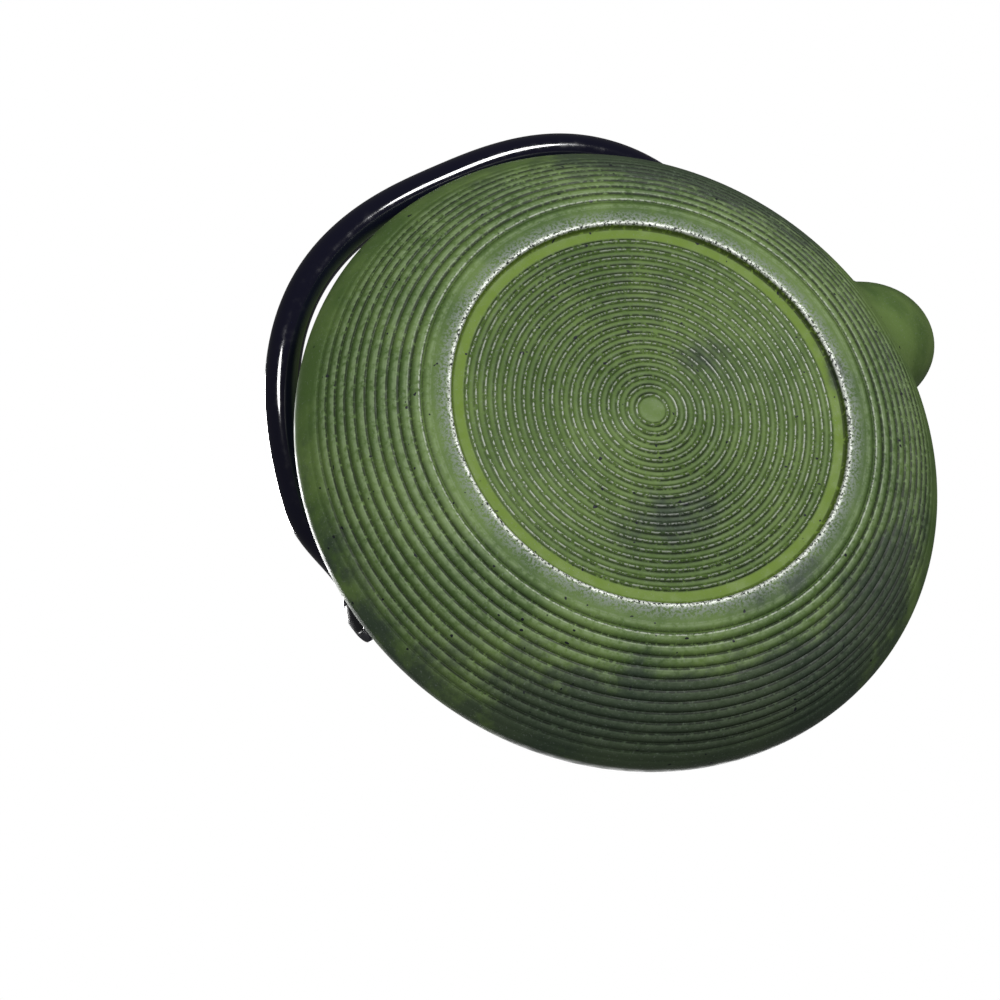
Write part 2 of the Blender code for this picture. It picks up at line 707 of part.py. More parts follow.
def main():
    clear_scene()
    parts = new_collection("cast_iron_teapot")
    cutters = new_collection("teapot_cutters")
    green_iron = new_material("green_iron", (0.10, 0.19, 0.035), 0.45, 0.3)
    black_enamel = new_material("black_enamel", (0.008, 0.008, 0.014), 0.12, 0.0)
    black_iron = new_material("black_iron", (0.02, 0.02, 0.022), 0.5, 0.6)
    bright_steel = new_material("bright_steel", (0.62, 0.62, 0.60), 0.25, 1.0)
    basket_steel = new_material("basket_steel", (0.56, 0.56, 0.55), 0.35, 1.0)

    axis = bpy.data.objects.new("pot_axis", None)
    axis.location = (POT_X, POT_Y, 0.0)
    place(axis, parts)

    make_casting(parts, cutters, axis, green_iron)
    make_handle(parts, cutters, axis, black_enamel)
    make_pin("front_hinge_pin", 1, parts, axis, black_iron)
    make_pin("rear_hinge_pin", -1, parts, axis, black_iron)
    make_lid_plate(parts, cutters, axis, green_iron)
    knob = place(turned("lid_knob", knob_profile(), True, SMALL_STEPS), parts, axis)
    finish_round(knob, green_iron)
    make_star_washer(parts, cutters, axis, bright_steel)
    make_rivet(parts, axis, black_iron)
    make_rivet_washer(parts, axis, bright_steel)
    make_infuser(parts, axis, basket_steel)


main()
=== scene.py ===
# %% [markdown]
# # A cast iron teapot
# A low, round teapot: one ribbed casting with its spout and two handle lugs, a lid with a flared knob,
# a steel basket for the leaves, and a black bail handle that folds to one side. The plain solids and
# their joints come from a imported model, called the frame. This lesson puts a finely worked piece in the
# place of each plain one. It starts by loading the frame and measuring it.

import json
import math

import bmesh
import bpy
import numpy as np
from mathutils import Matrix, Vector


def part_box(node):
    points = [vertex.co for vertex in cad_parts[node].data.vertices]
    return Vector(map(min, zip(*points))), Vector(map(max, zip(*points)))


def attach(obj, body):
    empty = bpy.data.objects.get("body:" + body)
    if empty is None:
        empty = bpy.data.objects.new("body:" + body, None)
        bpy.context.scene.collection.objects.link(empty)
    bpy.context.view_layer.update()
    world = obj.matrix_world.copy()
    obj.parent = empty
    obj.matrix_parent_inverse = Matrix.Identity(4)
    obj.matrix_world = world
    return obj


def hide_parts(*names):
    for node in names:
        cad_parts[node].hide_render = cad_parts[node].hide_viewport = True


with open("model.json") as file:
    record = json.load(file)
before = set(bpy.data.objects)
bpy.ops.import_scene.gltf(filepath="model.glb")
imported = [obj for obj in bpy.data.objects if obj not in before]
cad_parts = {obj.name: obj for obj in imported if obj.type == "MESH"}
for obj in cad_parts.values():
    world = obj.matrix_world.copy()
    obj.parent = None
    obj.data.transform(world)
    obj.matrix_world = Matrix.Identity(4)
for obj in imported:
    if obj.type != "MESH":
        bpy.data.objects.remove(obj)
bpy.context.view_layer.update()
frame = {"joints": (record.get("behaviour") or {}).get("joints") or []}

# %% [markdown]
# Everything round in this teapot is turned about one upright axis. It doesn't pass through the frame's
# origin, because the spout and the folded handle make the pot lopsided, so it is read from the lid's box.
# The hinge's height comes from the joint. Lengths are in metres, and `MM` keeps small ones readable.

# %% The axis and the hinge
MM = 0.001
lid_low, lid_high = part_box("lid_plate")
AXIS = Vector(((lid_low.x + lid_high.x) / 2, (lid_low.y + lid_high.y) / 2, 0.0))
hinge_joint = next(joint for joint in frame["joints"] if joint["name"] == "handle_swing")
HINGE_HEIGHT = hinge_joint["pos_m"][2]
print("pot axis at", [round(value / MM, 2) for value in AXIS[:2]], "mm")

# %% [markdown]
# ## Camera
# The pot is looked at from below and a little to one side, so that its ribbed base faces the lens. A long
# lens keeps the circles round. The camera is placed from an azimuth round the pot and an angle off
# straight down, then turned so that a chosen point of the table lies in the middle of the picture.

# %% Camera
CAMERA_DISTANCE = 0.6983
CAMERA_LENS = 107.9
CAMERA_AZIMUTH = math.radians(154.3)
CAMERA_OFF_PLUMB = math.radians(29.9)
CAMERA_UP = math.radians(-58.36)
CAMERA_AIM = Vector((-45.33, 3.66, 0.0)) * MM


def around(azimuth, elevation, distance):
    """A point seen from the pot's foot in that direction."""
    level = distance * math.cos(elevation)
    return AXIS + Vector(
        (level * math.cos(azimuth), level * math.sin(azimuth), distance * math.sin(elevation))
    )


def look_at(target, place, up):
    """The turn that points an object's -Z from place to target."""
    forward = (target - place).normalized()
    side = forward.cross(up).normalized()
    return Matrix((side, side.cross(forward), -forward)).transposed().to_quaternion()


camera_data = bpy.data.cameras.new("camera")
camera_data.lens = CAMERA_LENS
camera_data.clip_start = 0.01
camera = bpy.data.objects.new("camera", camera_data)
bpy.context.scene.collection.objects.link(camera)
camera.location = around(CAMERA_AZIMUTH, CAMERA_OFF_PLUMB - math.pi / 2, CAMERA_DISTANCE)
camera.rotation_mode = "QUATERNION"
camera.rotation_quaternion = look_at(
    AXIS + CAMERA_AIM, camera.location, Vector((math.cos(CAMERA_UP), math.sin(CAMERA_UP), 0.0))
)
bpy.context.scene.camera = camera
print("camera", round((camera.location - AXIS).length, 3), "m from the foot")

# %% [markdown]
# ## Light
# A pale room lights the pot softly from every side, but is dim in reflections, so that black enamel stays
# black. The main lamp shines up at the base from the spout's side, which draws one long gleam along the
# handle and makes the near face of each rib light and its far face dark. A weaker one crosses it. Two more
# stand high above the table for views from above. The colours are wanted as painted, so the view transform
# is the standard one.

# %% Light
bpy.context.scene.view_settings.view_transform = "Standard"
ROOM_STRENGTH = 0.24
MIRRORED_STRENGTH = 0.07
SEEN_STRENGTH = 1.0
# name: azimuth, elevation, distance, size, watts
LAMPS = {
    "key_below": (346, -61, 0.90, 0.24, 4.8),
    "cross_below": (203, -52, 0.90, 0.25, 4.0),
    "key_above": (-110, 66, 1.20, 0.40, 13.0),
    "fill_above": (60, 70, 1.30, 0.80, 7.0),
}


def make_world():
    world = bpy.data.worlds.new("white_room")
    world.use_nodes = True
    tree = world.node_tree
    background = tree.nodes["Background"]
    background.inputs["Color"].default_value = (1.0, 1.0, 1.0, 1.0)
    path = tree.nodes.new("ShaderNodeLightPath")
    mirrored = tree.nodes.new("ShaderNodeMapRange")
    mirrored.inputs["To Min"].default_value = ROOM_STRENGTH
    mirrored.inputs["To Max"].default_value = MIRRORED_STRENGTH
    tree.links.new(path.outputs["Is Glossy Ray"], mirrored.inputs["Value"])
    seen = tree.nodes.new("ShaderNodeMapRange")
    seen.inputs["To Max"].default_value = SEEN_STRENGTH
    tree.links.new(path.outputs["Is Camera Ray"], seen.inputs["Value"])
    tree.links.new(mirrored.outputs["Result"], seen.inputs["To Min"])
    tree.links.new(seen.outputs["Result"], background.inputs["Strength"])
    bpy.context.scene.world = world


def make_lamp(name, azimuth, elevation, distance, size, watts):
    data = bpy.data.lights.new(name, "AREA")
    data.shape = "DISK"
    data.size = size
    data.energy = watts
    lamp = bpy.data.objects.new(name, data)
    bpy.context.scene.collection.objects.link(lamp)
    lamp.location = around(math.radians(azimuth), math.radians(elevation), distance)
    lamp.rotation_mode = "QUATERNION"
    lamp.rotation_quaternion = look_at(AXIS, lamp.location, Vector((0.3, 0.2, 1.0)))


make_world()
for name, settings in LAMPS.items():
    make_lamp(name, *settings)
print(len(LAMPS), "lamps")

# %% [markdown]
# ## Floor
# The floor is a pale sheet under the foot. Seen from below it has to be clear, or it would hide the base,
# so its back face is transparent, and the lamps below shine through it. Further out it fades into the
# white room. The room's light already does what a pale floor's reflection would do, so the floor is seen
# by the camera only.

# %% Floor
FLOOR_HALF = 6.0
FLOOR_COLOUR = (0.86, 0.86, 0.85, 1.0)
FLOOR_FADE = (0.16, 0.50)
FLOOR_DROP = 0.02 * MM


def make_floor():
    mesh = bpy.data.meshes.new("floor")
    shape = bmesh.new()
    bmesh.ops.create_grid(shape, x_segments=1, y_segments=1, size=FLOOR_HALF)
    shape.to_mesh(mesh)
    shape.free()
    floor = bpy.data.objects.new("floor", mesh)
    bpy.context.scene.collection.objects.link(floor)
    floor.location = (0.0, 0.0, -FLOOR_DROP)
    material = bpy.data.materials.new("pale_floor")
    material.use_nodes = True
    tree = material.node_tree
    shader = tree.nodes["Principled BSDF"]
    shader.inputs["Base Color"].default_value = FLOOR_COLOUR
    shader.inputs["Roughness"].default_value = 0.8
    shader.inputs["Specular IOR Level"].default_value = 0.1
    clear = tree.nodes.new("ShaderNodeBsdfTransparent")
    side = tree.nodes.new("ShaderNodeNewGeometry")
    where = tree.nodes.new("ShaderNodeTexCoord")
    out = tree.nodes.new("ShaderNodeVectorMath")
    out.operation = "LENGTH"
    tree.links.new(where.outputs["Object"], out.inputs[0])
    fade = tree.nodes.new("ShaderNodeMapRange")
    fade.interpolation_type = "SMOOTHSTEP"
    fade.inputs["From Min"].default_value, fade.inputs["From Max"].default_value = FLOOR_FADE
    tree.links.new(out.outputs["Value"], fade.inputs["Value"])
    unseen = tree.nodes.new("ShaderNodeMath")
    unseen.operation = "MAXIMUM"
    tree.links.new(side.outputs["Backfacing"], unseen.inputs[0])
    tree.links.new(fade.outputs["Result"], unseen.inputs[1])
    mix = tree.nodes.new("ShaderNodeMixShader")
    tree.links.new(unseen.outputs["Value"], mix.inputs["Fac"])
    tree.links.new(shader.outputs["BSDF"], mix.inputs[1])
    tree.links.new(clear.outputs["BSDF"], mix.inputs[2])
    tree.links.new(mix.outputs["Shader"], tree.nodes["Material Output"].inputs["Surface"])
    floor.data.materials.append(material)
    for sight in ("visible_diffuse", "visible_glossy", "visible_transmission", "visible_shadow"):
        setattr(floor, sight, False)


make_floor()

# %% [markdown]
# ## Finishes
# Each finish is a small tree of nodes. These helpers each add one node and hand back its output, so that
# a finish reads from top to bottom like a recipe. Patterns are measured in metres on the object, which
# keeps the grain the same size on every piece.

# %% Node helpers


def new_finish(name, **settings):
    """A material, its node tree and its shader, with fixed settings such as Roughness=0.4."""
    material = bpy.data.materials.new(name)
    material.use_nodes = True
    shader = material.node_tree.nodes["Principled BSDF"]
    for key, value in settings.items():
        shader.inputs[key.replace("_", " ")].default_value = value
    return material, material.node_tree, shader


def feed(tree, socket, value):
    if isinstance(value, bpy.types.NodeSocket):
        tree.links.new(value, socket)
    elif socket.type == "RGBA":
        socket.default_value = (*value, 1.0)
    else:
        socket.default_value = value


def noise(tree, scale, detail=2.0, roughness=0.5):
    where = tree.nodes.new("ShaderNodeTexCoord")
    made = tree.nodes.new("ShaderNodeTexNoise")
    made.inputs["Scale"].default_value = scale
    made.inputs["Detail"].default_value = detail
    made.inputs["Roughness"].default_value = roughness
    tree.links.new(where.outputs["Object"], made.inputs["Vector"])
    return made.outputs["Fac"]


def attribute(tree, name):
    made = tree.nodes.new("ShaderNodeAttribute")
    made.attribute_name = name
    return made.outputs["Fac"]


def between(tree, value, low, high, start=0.0, end=1.0):
    """Maps low..high smoothly onto start..end."""
    made = tree.nodes.new("ShaderNodeMapRange")
    made.interpolation_type = "SMOOTHSTEP"
    feed(tree, made.inputs["Value"], value)
    for key, number in (("From Min", low), ("From Max", high), ("To Min", start), ("To Max", end)):
        made.inputs[key].default_value = number
    return made.outputs["Result"]


def maths(tree, operation, first, second):
    made = tree.nodes.new("ShaderNodeMath")
    made.operation = operation
    made.use_clamp = operation in ("ADD", "SUBTRACT", "MULTIPLY")
    feed(tree, made.inputs[0], first)
    feed(tree, made.inputs[1], second)
    return made.outputs["Value"]


def mixed(tree, share, first, second):
    made = tree.nodes.new("ShaderNodeMix")
    made.data_type = "RGBA"
    feed(tree, made.inputs["Factor"], share)
    feed(tree, made.inputs[6], first)
    feed(tree, made.inputs[7], second)
    return made.outputs[2]


def bump(tree, shader, height, distance, strength=1.0, under=None):
    made = tree.nodes.new("ShaderNodeBump")
    made.inputs["Distance"].default_value = distance
    made.inputs["Strength"].default_value = strength
    tree.links.new(height, made.inputs["Height"])
    if under is not None:
        tree.links.new(under, made.inputs["Normal"])
    tree.links.new(made.outputs["Normal"], shader.inputs["Normal"])
    return made.outputs["Normal"]


# %% [markdown]
# The casting's green lacquer is two close greens in soft clouds, paler along the tops of the ribs, where the
# paler green is a painted highlight; a lighter yellow-green is painted light in the base's recess, on the lid
# by the knob and up the knob. Dark smudges lie on it, partly dark paint and partly painted shade, and black
# lies in the bottom of each groove, with painted shade over the far face of each rib, on the foot ring's
# inner wall, beside the base's threads, down the knob's bore and towards the knob's foot. Rubbing has bared
# bright iron in broken lines and specks along the crests, which on the base are painted brighter on two
# opposite sides as a highlight. Beside the foot ring lies a chalky, speckled band.
# Where a surface is crest, groove, smudge and so on comes with the mesh, as attributes.

# %% Green iron
DEEP_GREEN = (0.062, 0.112, 0.028)
LEAF_GREEN = (0.118, 0.186, 0.050)
PAINTED_LIGHT_GREEN = (0.128, 0.205, 0.024)
RIB_HIGHLIGHT_GREEN = (0.300, 0.390, 0.215)
CHALK = (0.225, 0.255, 0.235)
SMUDGE_AND_SHADE_DARK = (0.022, 0.028, 0.036)
GROOVE_AND_SHADE_BLACK = (0.006, 0.010, 0.005)
BARE_IRON = (0.64, 0.66, 0.62)
CHIP_BLACK = (0.010, 0.012, 0.016)
WORN_SHINE = 0.2
BARE_SHINE = 0.6


def make_green_iron():
    material, tree, shader = new_finish("green_iron", Roughness=0.5, Specular_IOR_Level=0.22)
    clouds = between(tree, noise(tree, 38, 5.0, 0.6), 0.36, 0.64)
    green = mixed(tree, clouds, DEEP_GREEN, LEAF_GREEN)
    # Painted light: a lighter yellow-green where the mesh marks it.
    green = mixed(tree, attribute(tree, "painted_light"), green, PAINTED_LIGHT_GREEN)
    # Painted highlight: a paler green along the rib faces, broken up by noise.
    rib_highlight_noise = between(tree, noise(tree, 700, 3.0, 0.6), 0.3, 0.6)
    painted_rib_highlight = maths(tree, "MULTIPLY", attribute(tree, "lit"), rib_highlight_noise)
    green = mixed(tree, painted_rib_highlight, green, RIB_HIGHLIGHT_GREEN)
    grains = between(tree, noise(tree, 1500, 2.0, 0.7), 0.40, 0.58)
    chalk = maths(tree, "MULTIPLY", attribute(tree, "chalk"), grains)
    green = mixed(tree, chalk, green, CHALK)
    # Smudges: dark paint, and painted shade in places, such as at the knob's foot.
    smudge_and_shade_edge = maths(tree, "ADD", attribute(tree, "smudge_and_shade"), noise(tree, 120, 5.0, 0.65))
    green = mixed(tree, between(tree, smudge_and_shade_edge, 0.66, 1.15, 0.0, 0.88), green, SMUDGE_AND_SHADE_DARK)
    dust = between(tree, noise(tree, 1900, 2.0, 0.6), 0.60, 0.72, 0.0, 0.3)
    green = mixed(tree, dust, green, CHALK)
    broken = between(tree, noise(tree, 900, 3.0, 0.6), 0.32, 0.50)
    # Black in the grooves, with painted shade on rib faces, the foot ring's inner wall, beside the base's
    # threads and in the knob's bore.
    groove = maths(tree, "MULTIPLY", attribute(tree, "groove"), broken)
    green = mixed(tree, groove, green, GROOVE_AND_SHADE_BLACK)
    flecks = between(tree, noise(tree, 1300, 2.0, 0.7), 0.45, 0.54)
    worn = maths(tree, "MULTIPLY", attribute(tree, "crest"), flecks)
    pits = between(tree, noise(tree, 1500, 3.0, 0.7), 0.42, 0.52)
    bared = maths(tree, "MULTIPLY", attribute(tree, "bare"), pits)
    metal = maths(tree, "MAXIMUM", worn, bared)
    dull_shine = maths(tree, "MULTIPLY", worn, WORN_SHINE)
    mirror = maths(tree, "ADD", dull_shine, maths(tree, "MULTIPLY", bared, BARE_SHINE))
    unworn = maths(tree, "SUBTRACT", attribute(tree, "bare"), bared)
    green = mixed(tree, between(tree, unworn, 0.2, 0.8), green, CHIP_BLACK)
    chips = between(tree, noise(tree, 520, 1.0), 0.745, 0.765)
    green = mixed(tree, chips, green, CHIP_BLACK)
    green = mixed(tree, metal, green, BARE_IRON)
    tree.links.new(green, shader.inputs["Base Color"])
    tree.links.new(mirror, shader.inputs["Metallic"])
    rough = between(tree, noise(tree, 260, 3.0), 0.3, 0.7, 0.44, 0.60)
    tree.links.new(rough, shader.inputs["Roughness"])
    coarse = bump(tree, shader, noise(tree, 700, 3.0, 0.6), 0.06 * MM, 0.6)
    bump(tree, shader, noise(tree, 2600, 2.0, 0.6), 0.03 * MM, 0.7, coarse)
    return material


green_iron = make_green_iron()

# %% [markdown]
# The handle is dipped in glossy black enamel with a faint blue cast: almost a mirror, a little wavy. The
# pins and rivet are a duller black, the star washer is bright stamped steel, and the basket is thin
# stainless sheet with a brushed grain.

# %% Black enamel, black iron and the two steels


def make_black_enamel():
    material, tree, shader = new_finish(
        "black_enamel", Base_Color=(0.003, 0.003, 0.011, 1.0), Roughness=0.10, Coat_Weight=0.6
    )
    shader.inputs["Coat Roughness"].default_value = 0.06
    rough = between(tree, noise(tree, 320, 4.0, 0.6), 0.4, 0.75, 0.09, 0.24)
    tree.links.new(rough, shader.inputs["Roughness"])
    bump(tree, shader, noise(tree, 110, 2.0), 0.12 * MM, 0.35)
    return material


def make_black_iron():
    material, tree, shader = new_finish("black_iron", Base_Color=(0.012, 0.012, 0.014, 1.0))
    rough = between(tree, noise(tree, 600, 3.0), 0.3, 0.7, 0.18, 0.42)
    tree.links.new(rough, shader.inputs["Roughness"])
    bump(tree, shader, noise(tree, 900, 3.0), 0.03 * MM, 0.5)
    return material


def make_steel(name, colour, low, high):
    material, tree, shader = new_finish(name, Base_Color=(*colour, 1.0), Metallic=1.0)
    rough = between(tree, noise(tree, 700, 4.0, 0.7), 0.3, 0.7, low, high)
    tree.links.new(rough, shader.inputs["Roughness"])
    bump(tree, shader, noise(tree, 1500, 2.0), 0.02 * MM, 0.4)
    return material


black_enamel = make_black_enamel()
black_iron = make_black_iron()
bright_steel = make_steel("bright_steel", (0.72, 0.73, 0.72), 0.16, 0.34)
basket_steel = make_steel("basket_steel", (0.60, 0.60, 0.59), 0.28, 0.46)

# %% [markdown]
# ## Mesh helpers
# Most pieces are a grid of points: rows down a profile, columns round an axis. One function joins such a
# grid with quads, and closes its ends with a fan. A second one turns a profile, and a third applies a
# Boolean at once, so that what stays in the scene is a plain finished mesh.

# %% Mesh helpers
SHARP = math.radians(38)


def circle(count):
    """The angles of that many equal steps round a circle."""
    return np.linspace(0, 2 * np.pi, count, endpoint=False)


def grid_object(name, rows, close_rows=False, fans=(None, None)):
    """Quads between rows of points that each run all the way round. A fan closes an end on a point."""
    rows = np.asarray(rows, float)
    count, columns = rows.shape[:2]
    points = rows.reshape(-1, 3)
    column = np.arange(columns)
    after = (column + 1) % columns
    faces = []
    for row in range(count if close_rows else count - 1):
        here = row * columns
        below = (row + 1) % count * columns
        faces += np.stack([here + column, below + column, below + after, here + after], 1).tolist()
    for row, tip in ((0, fans[0]), (count - 1, fans[1])):
        if tip is None:
            continue
        index = len(points)
        points = np.vstack([points, [tip]])
        here = row * columns
        ring = np.stack([here + after, here + column] if row else [here + column, here + after], 1)
        faces += [(index, first, second) for first, second in ring.tolist()]
    mesh = bpy.data.meshes.new(name)
    mesh.from_pydata(points.tolist(), [], faces)
    obj = bpy.data.objects.new(name, mesh)
    bpy.context.scene.collection.objects.link(obj)
    shape = bmesh.new()
    shape.from_mesh(mesh)
    bmesh.ops.recalc_face_normals(shape, faces=shape.faces)
    shape.to_mesh(mesh)
    shape.free()
    return obj


def turned(name, profile, columns=96, closed=True):
    """A profile of (radius, height) points turned about the pot's axis."""
    profile = np.asarray(profile, float)
    angle = circle(columns)
    ends = [None, None]
    if not closed:
        ends = [(AXIS.x, AXIS.y, profile[0][1]), (AXIS.x, AXIS.y, profile[-1][1])]
        ends = [None if profile[row][0] > 0 else ends[row] for row in (0, -1)]
        profile = profile[profile[:, 0] > 0]
    rows = np.stack(
        [
            AXIS.x + profile[:, :1] * np.cos(angle),
            AXIS.y + profile[:, :1] * np.sin(angle),
            np.repeat(profile[:, 1:], columns, 1),
        ],
        -1,
    )
    return grid_object(name, rows, close_rows=closed, fans=ends)


def rounded(points, radius, steps=4):
    """A profile with each corner replaced by a short curve of about that radius."""
    points = [Vector(point) for point in points]
    made = [points[0]]
    for before, corner, after in zip(points, points[1:], points[2:]):
        arm = min(radius, (before - corner).length / 2.2, (after - corner).length / 2.2)
        start = corner + (before - corner).normalized() * arm
        end = corner + (after - corner).normalized() * arm
        for step in range(steps + 1):
            share = step / steps
            made.append(start.lerp(corner, share).lerp(corner.lerp(end, share), share))
    made.append(points[-1])
    return [tuple(point) for point in made]


def bake_modifiers(obj):
    """Makes the object's mesh what its modifiers show, and drops them."""
    graph = bpy.context.evaluated_depsgraph_get()
    mesh = bpy.data.meshes.new_from_object(obj.evaluated_get(graph))
    obj.modifiers.clear()
    obj.data = mesh


def boolean(obj, operation, *others):
    """Joins or cuts the others into the object at once, and removes them."""
    for other in others:
        modifier = obj.modifiers.new(operation, "BOOLEAN")
        modifier.operation = operation
        modifier.solver = "MANIFOLD"
        modifier.object = other
    bake_modifiers(obj)
    for other in others:
        bpy.data.objects.remove(other, do_unlink=True)


def finish_piece(obj, node, body, material):
    """Gives a finished piece its finish and the place of a plain solid."""
    obj.data.materials.clear()
    obj.data.materials.append(material)
    obj.data.shade_smooth()
    obj.data.set_sharp_from_angle(angle=SHARP)
    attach(obj, body)
    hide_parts(node)
    print(obj.name, len(obj.data.polygons), "faces")


# %% [markdown]
# ## The body's profile
# From the collar the shoulder falls as half an ellipse to the widest line. Below it the flank runs in to
# the foot with a curve that is steep at first and then almost flat. The foot is a narrow raised ring, and
# inside it lies a base that is hollowed a little and domes back down towards its middle.

# %% Body profile
BODY_RADIUS = 80 * MM
BELLY_HEIGHT = 24.8 * MM
SHOULDER_RISE = 28 * MM
COLLAR_RADIUS = 41 * MM
SEAT_RADIUS = 39 * MM
MOUTH_RADIUS = 34.5 * MM
RIM_HEIGHT = 53.04 * MM
SEAT_HEIGHT = RIM_HEIGHT - 3 * MM
WALL = 3 * MM
FLOOR_HEIGHT = 4.5 * MM
FOOT_INNER = 48.2 * MM
FOOT_OUTER = 50.0 * MM
FLANK_START = (52.5 * MM, 0.5 * MM)
RECESS = 1.5 * MM
CROWN = 0.9 * MM
FLANK_CONE = 1.5
FLANK_ROUND = 0.712
DISC_RADIUS = 47.0 * MM


def shoulder_at(angle):
    """A point of the shoulder, from the widest line at 0 upwards."""
    return BODY_RADIUS * math.cos(angle), BELLY_HEIGHT + SHOULDER_RISE * math.sin(angle)


def flank_at(angle):
    """A point of the flank, from the foot band at 0 to the widest line."""
    out = (math.sin(angle) ** 2) ** (1 / FLANK_CONE)
    up = 1 - (math.cos(angle) ** 2) ** FLANK_ROUND
    return (
        FLANK_START[0] + (BODY_RADIUS - FLANK_START[0]) * out,
        FLANK_START[1] + (BELLY_HEIGHT - FLANK_START[1]) * up,
    )


flank = np.array([flank_at(math.pi / 2 * step / 4000) for step in range(4001)])
flank_run = np.concatenate([[0], np.cumsum(np.hypot(*np.diff(flank, axis=0).T))])
print("flank is", round(flank_run[-1] / MM, 1), "mm long from foot band to widest line")


def body_radius(height):
    """The outside radius at a height, below or above the widest line."""
    height = np.asarray(height, float)
    share = np.clip((height - BELLY_HEIGHT) / SHOULDER_RISE, -1, 1)
    above = BODY_RADIUS * np.sqrt(1 - share**2)
    below = np.interp(height, flank[:, 1], flank[:, 0])
    return np.where(height > BELLY_HEIGHT, above, below)


# %% [markdown]
# ## The spout's line
# The spout leaves the belly almost level, swells, and turns up to a mouth just above the rim. Its middle
# line is a curve through three control points, and its radius follows a second curve of the same kind.
# It comes before the ribs, because they fade out as they near it.

# %% Spout line
MOUTH_LEAN = math.radians(60)
SPOUT_REACH = 104.85 * MM
SPOUT_NECK = 27 * MM
SPOUT_TIP_RADIUS = 9.7 * MM
SPOUT_TIP = Vector((SPOUT_REACH - SPOUT_TIP_RADIUS * math.sin(MOUTH_LEAN), 0.0, 56 * MM))
SPOUT_ELBOW = SPOUT_TIP - SPOUT_NECK * Vector((math.cos(MOUTH_LEAN), 0.0, math.sin(MOUTH_LEAN)))
SPOUT_ROOT = Vector((52 * MM, 0.0, 28 * MM))
SPOUT_RADII = (14 * MM, 22 * MM, SPOUT_TIP_RADIUS)
SPOUT_WALL = 2.6 * MM
LEVEL = Vector((0.0, 1.0, 0.0))


def spout_at(share):
    """Centre, forward direction and radius at a share of the spout's length."""
    first, second, third = (1 - share) ** 2, 2 * share * (1 - share), share**2
    centre = first * SPOUT_ROOT + second * SPOUT_ELBOW + third * SPOUT_TIP
    forward = (1 - share) * (SPOUT_ELBOW - SPOUT_ROOT) + share * (SPOUT_TIP - SPOUT_ELBOW)
    radius = first * SPOUT_RADII[0] + second * SPOUT_RADII[1] + third * SPOUT_RADII[2]
    return centre, forward.normalized(), radius


def spoke(forward, angle):
    """A unit spoke at an angle round the spout's line, from straight up."""
    return Vector((-forward.z, 0.0, forward.x)) * math.cos(angle) + LEVEL * math.sin(angle)


spout_samples = [spout_at(step / 24) for step in range(25)]


def spout_distance(points):
    """How far points, measured from the pot's axis, are from the spout's outside."""
    nearest = np.full(len(points), 1.0)
    for centre, _, radius in spout_samples:
        away = np.linalg.norm(points - np.array(centre), axis=1) - radius
        nearest = np.minimum(nearest, away)
    return nearest


# %% [markdown]
# ## Ribs
# The flank's ribs are broad round steps with a crisp groove between them, all of one pitch along the
# surface. They run further up the belly on one side than on the other, and die away towards the spout.
# The base is different: thin raised threads on a smooth ground. A rib is worked out from where a point
# lies, so the same functions shape the mesh and later tell the lacquer where crests and grooves are.

# %% Rib shapes
RIB_PITCH = 2.7 * MM
RIB_DEPTH = 0.72 * MM
RIB_CREST = 0.32
THREAD_PITCH = 2.25 * MM
THREAD_FIRST = 3.8 * MM
THREAD_LAST = 44.4 * MM
THREAD_HEIGHT = 0.26 * MM
RIBS_END = 29.5
RIBS_END_SWING = 4.5
RIBS_LONGEST_SIDE = math.radians(135)


def smooth(value, low, high):
    """0 below low, 1 above high, and a soft step between."""
    share = np.clip((value - low) / (high - low), 0, 1)
    return share * share * (3 - 2 * share)


def hump(phase, centre, width):
    """A soft bump of height 1 round a place in the cycle."""
    away = (phase - centre + 0.5) % 1.0 - 0.5
    return np.exp(-((away / width) ** 2))


def rib_strength(run, azimuth, spout_gap):
    """1 where the ribs are full, fading to 0 at the foot band, high on the belly and by the spout."""
    end = (RIBS_END + RIBS_END_SWING * np.cos(azimuth - RIBS_LONGEST_SIDE)) * MM
    fade = 1 - smooth(run, end - 5 * MM, end + 3 * MM)
    outer = smooth(run, 14 * MM, 19 * MM)
    near_spout = 1 - outer * (1 - smooth(spout_gap, 1.5 * MM, 8 * MM))
    return fade * smooth(run, 0.2 * MM, 1.2 * MM) * near_spout * smooth(spout_gap, 0.0, 1.5 * MM)


def rib_depth(run):
    """Depth below the smooth surface: a bead that is steep just outside each groove, then slopes away."""
    phase = (run / RIB_PITCH) % 1.0
    rising = np.clip((RIB_CREST - phase) / RIB_CREST, 0, 1)
    falling = np.clip((phase - RIB_CREST) / (1 - RIB_CREST), 0, 1)
    return 1 - np.sqrt(1 - 0.97 * np.maximum(rising, falling) ** 2.2)


def thread_height(radius):
    """The base's threads, as shares of their height, with a shallow ditch on both sides."""
    phase = (radius - THREAD_FIRST) / THREAD_PITCH
    within = smooth(radius, THREAD_FIRST - 0.8 * MM, THREAD_FIRST - 0.4 * MM)
    within = within * (1 - smooth(radius, THREAD_LAST + 0.4 * MM, THREAD_LAST + 0.8 * MM))
    ditch = hump(phase, 0.20, 0.09) + hump(phase, -0.20, 0.09)
    return within * (hump(phase, 0.0, 0.10) - 0.5 * ditch)


# %% [markdown]
# The smudges are soft dark patches: dark paint, and on the side from about 60 to 120 degrees round painted
# shade as well. The foot ring is bare along its inner crest. On the base the threads are painted brighter
# on two opposite sides as a highlight, and darker on the other two as shade.

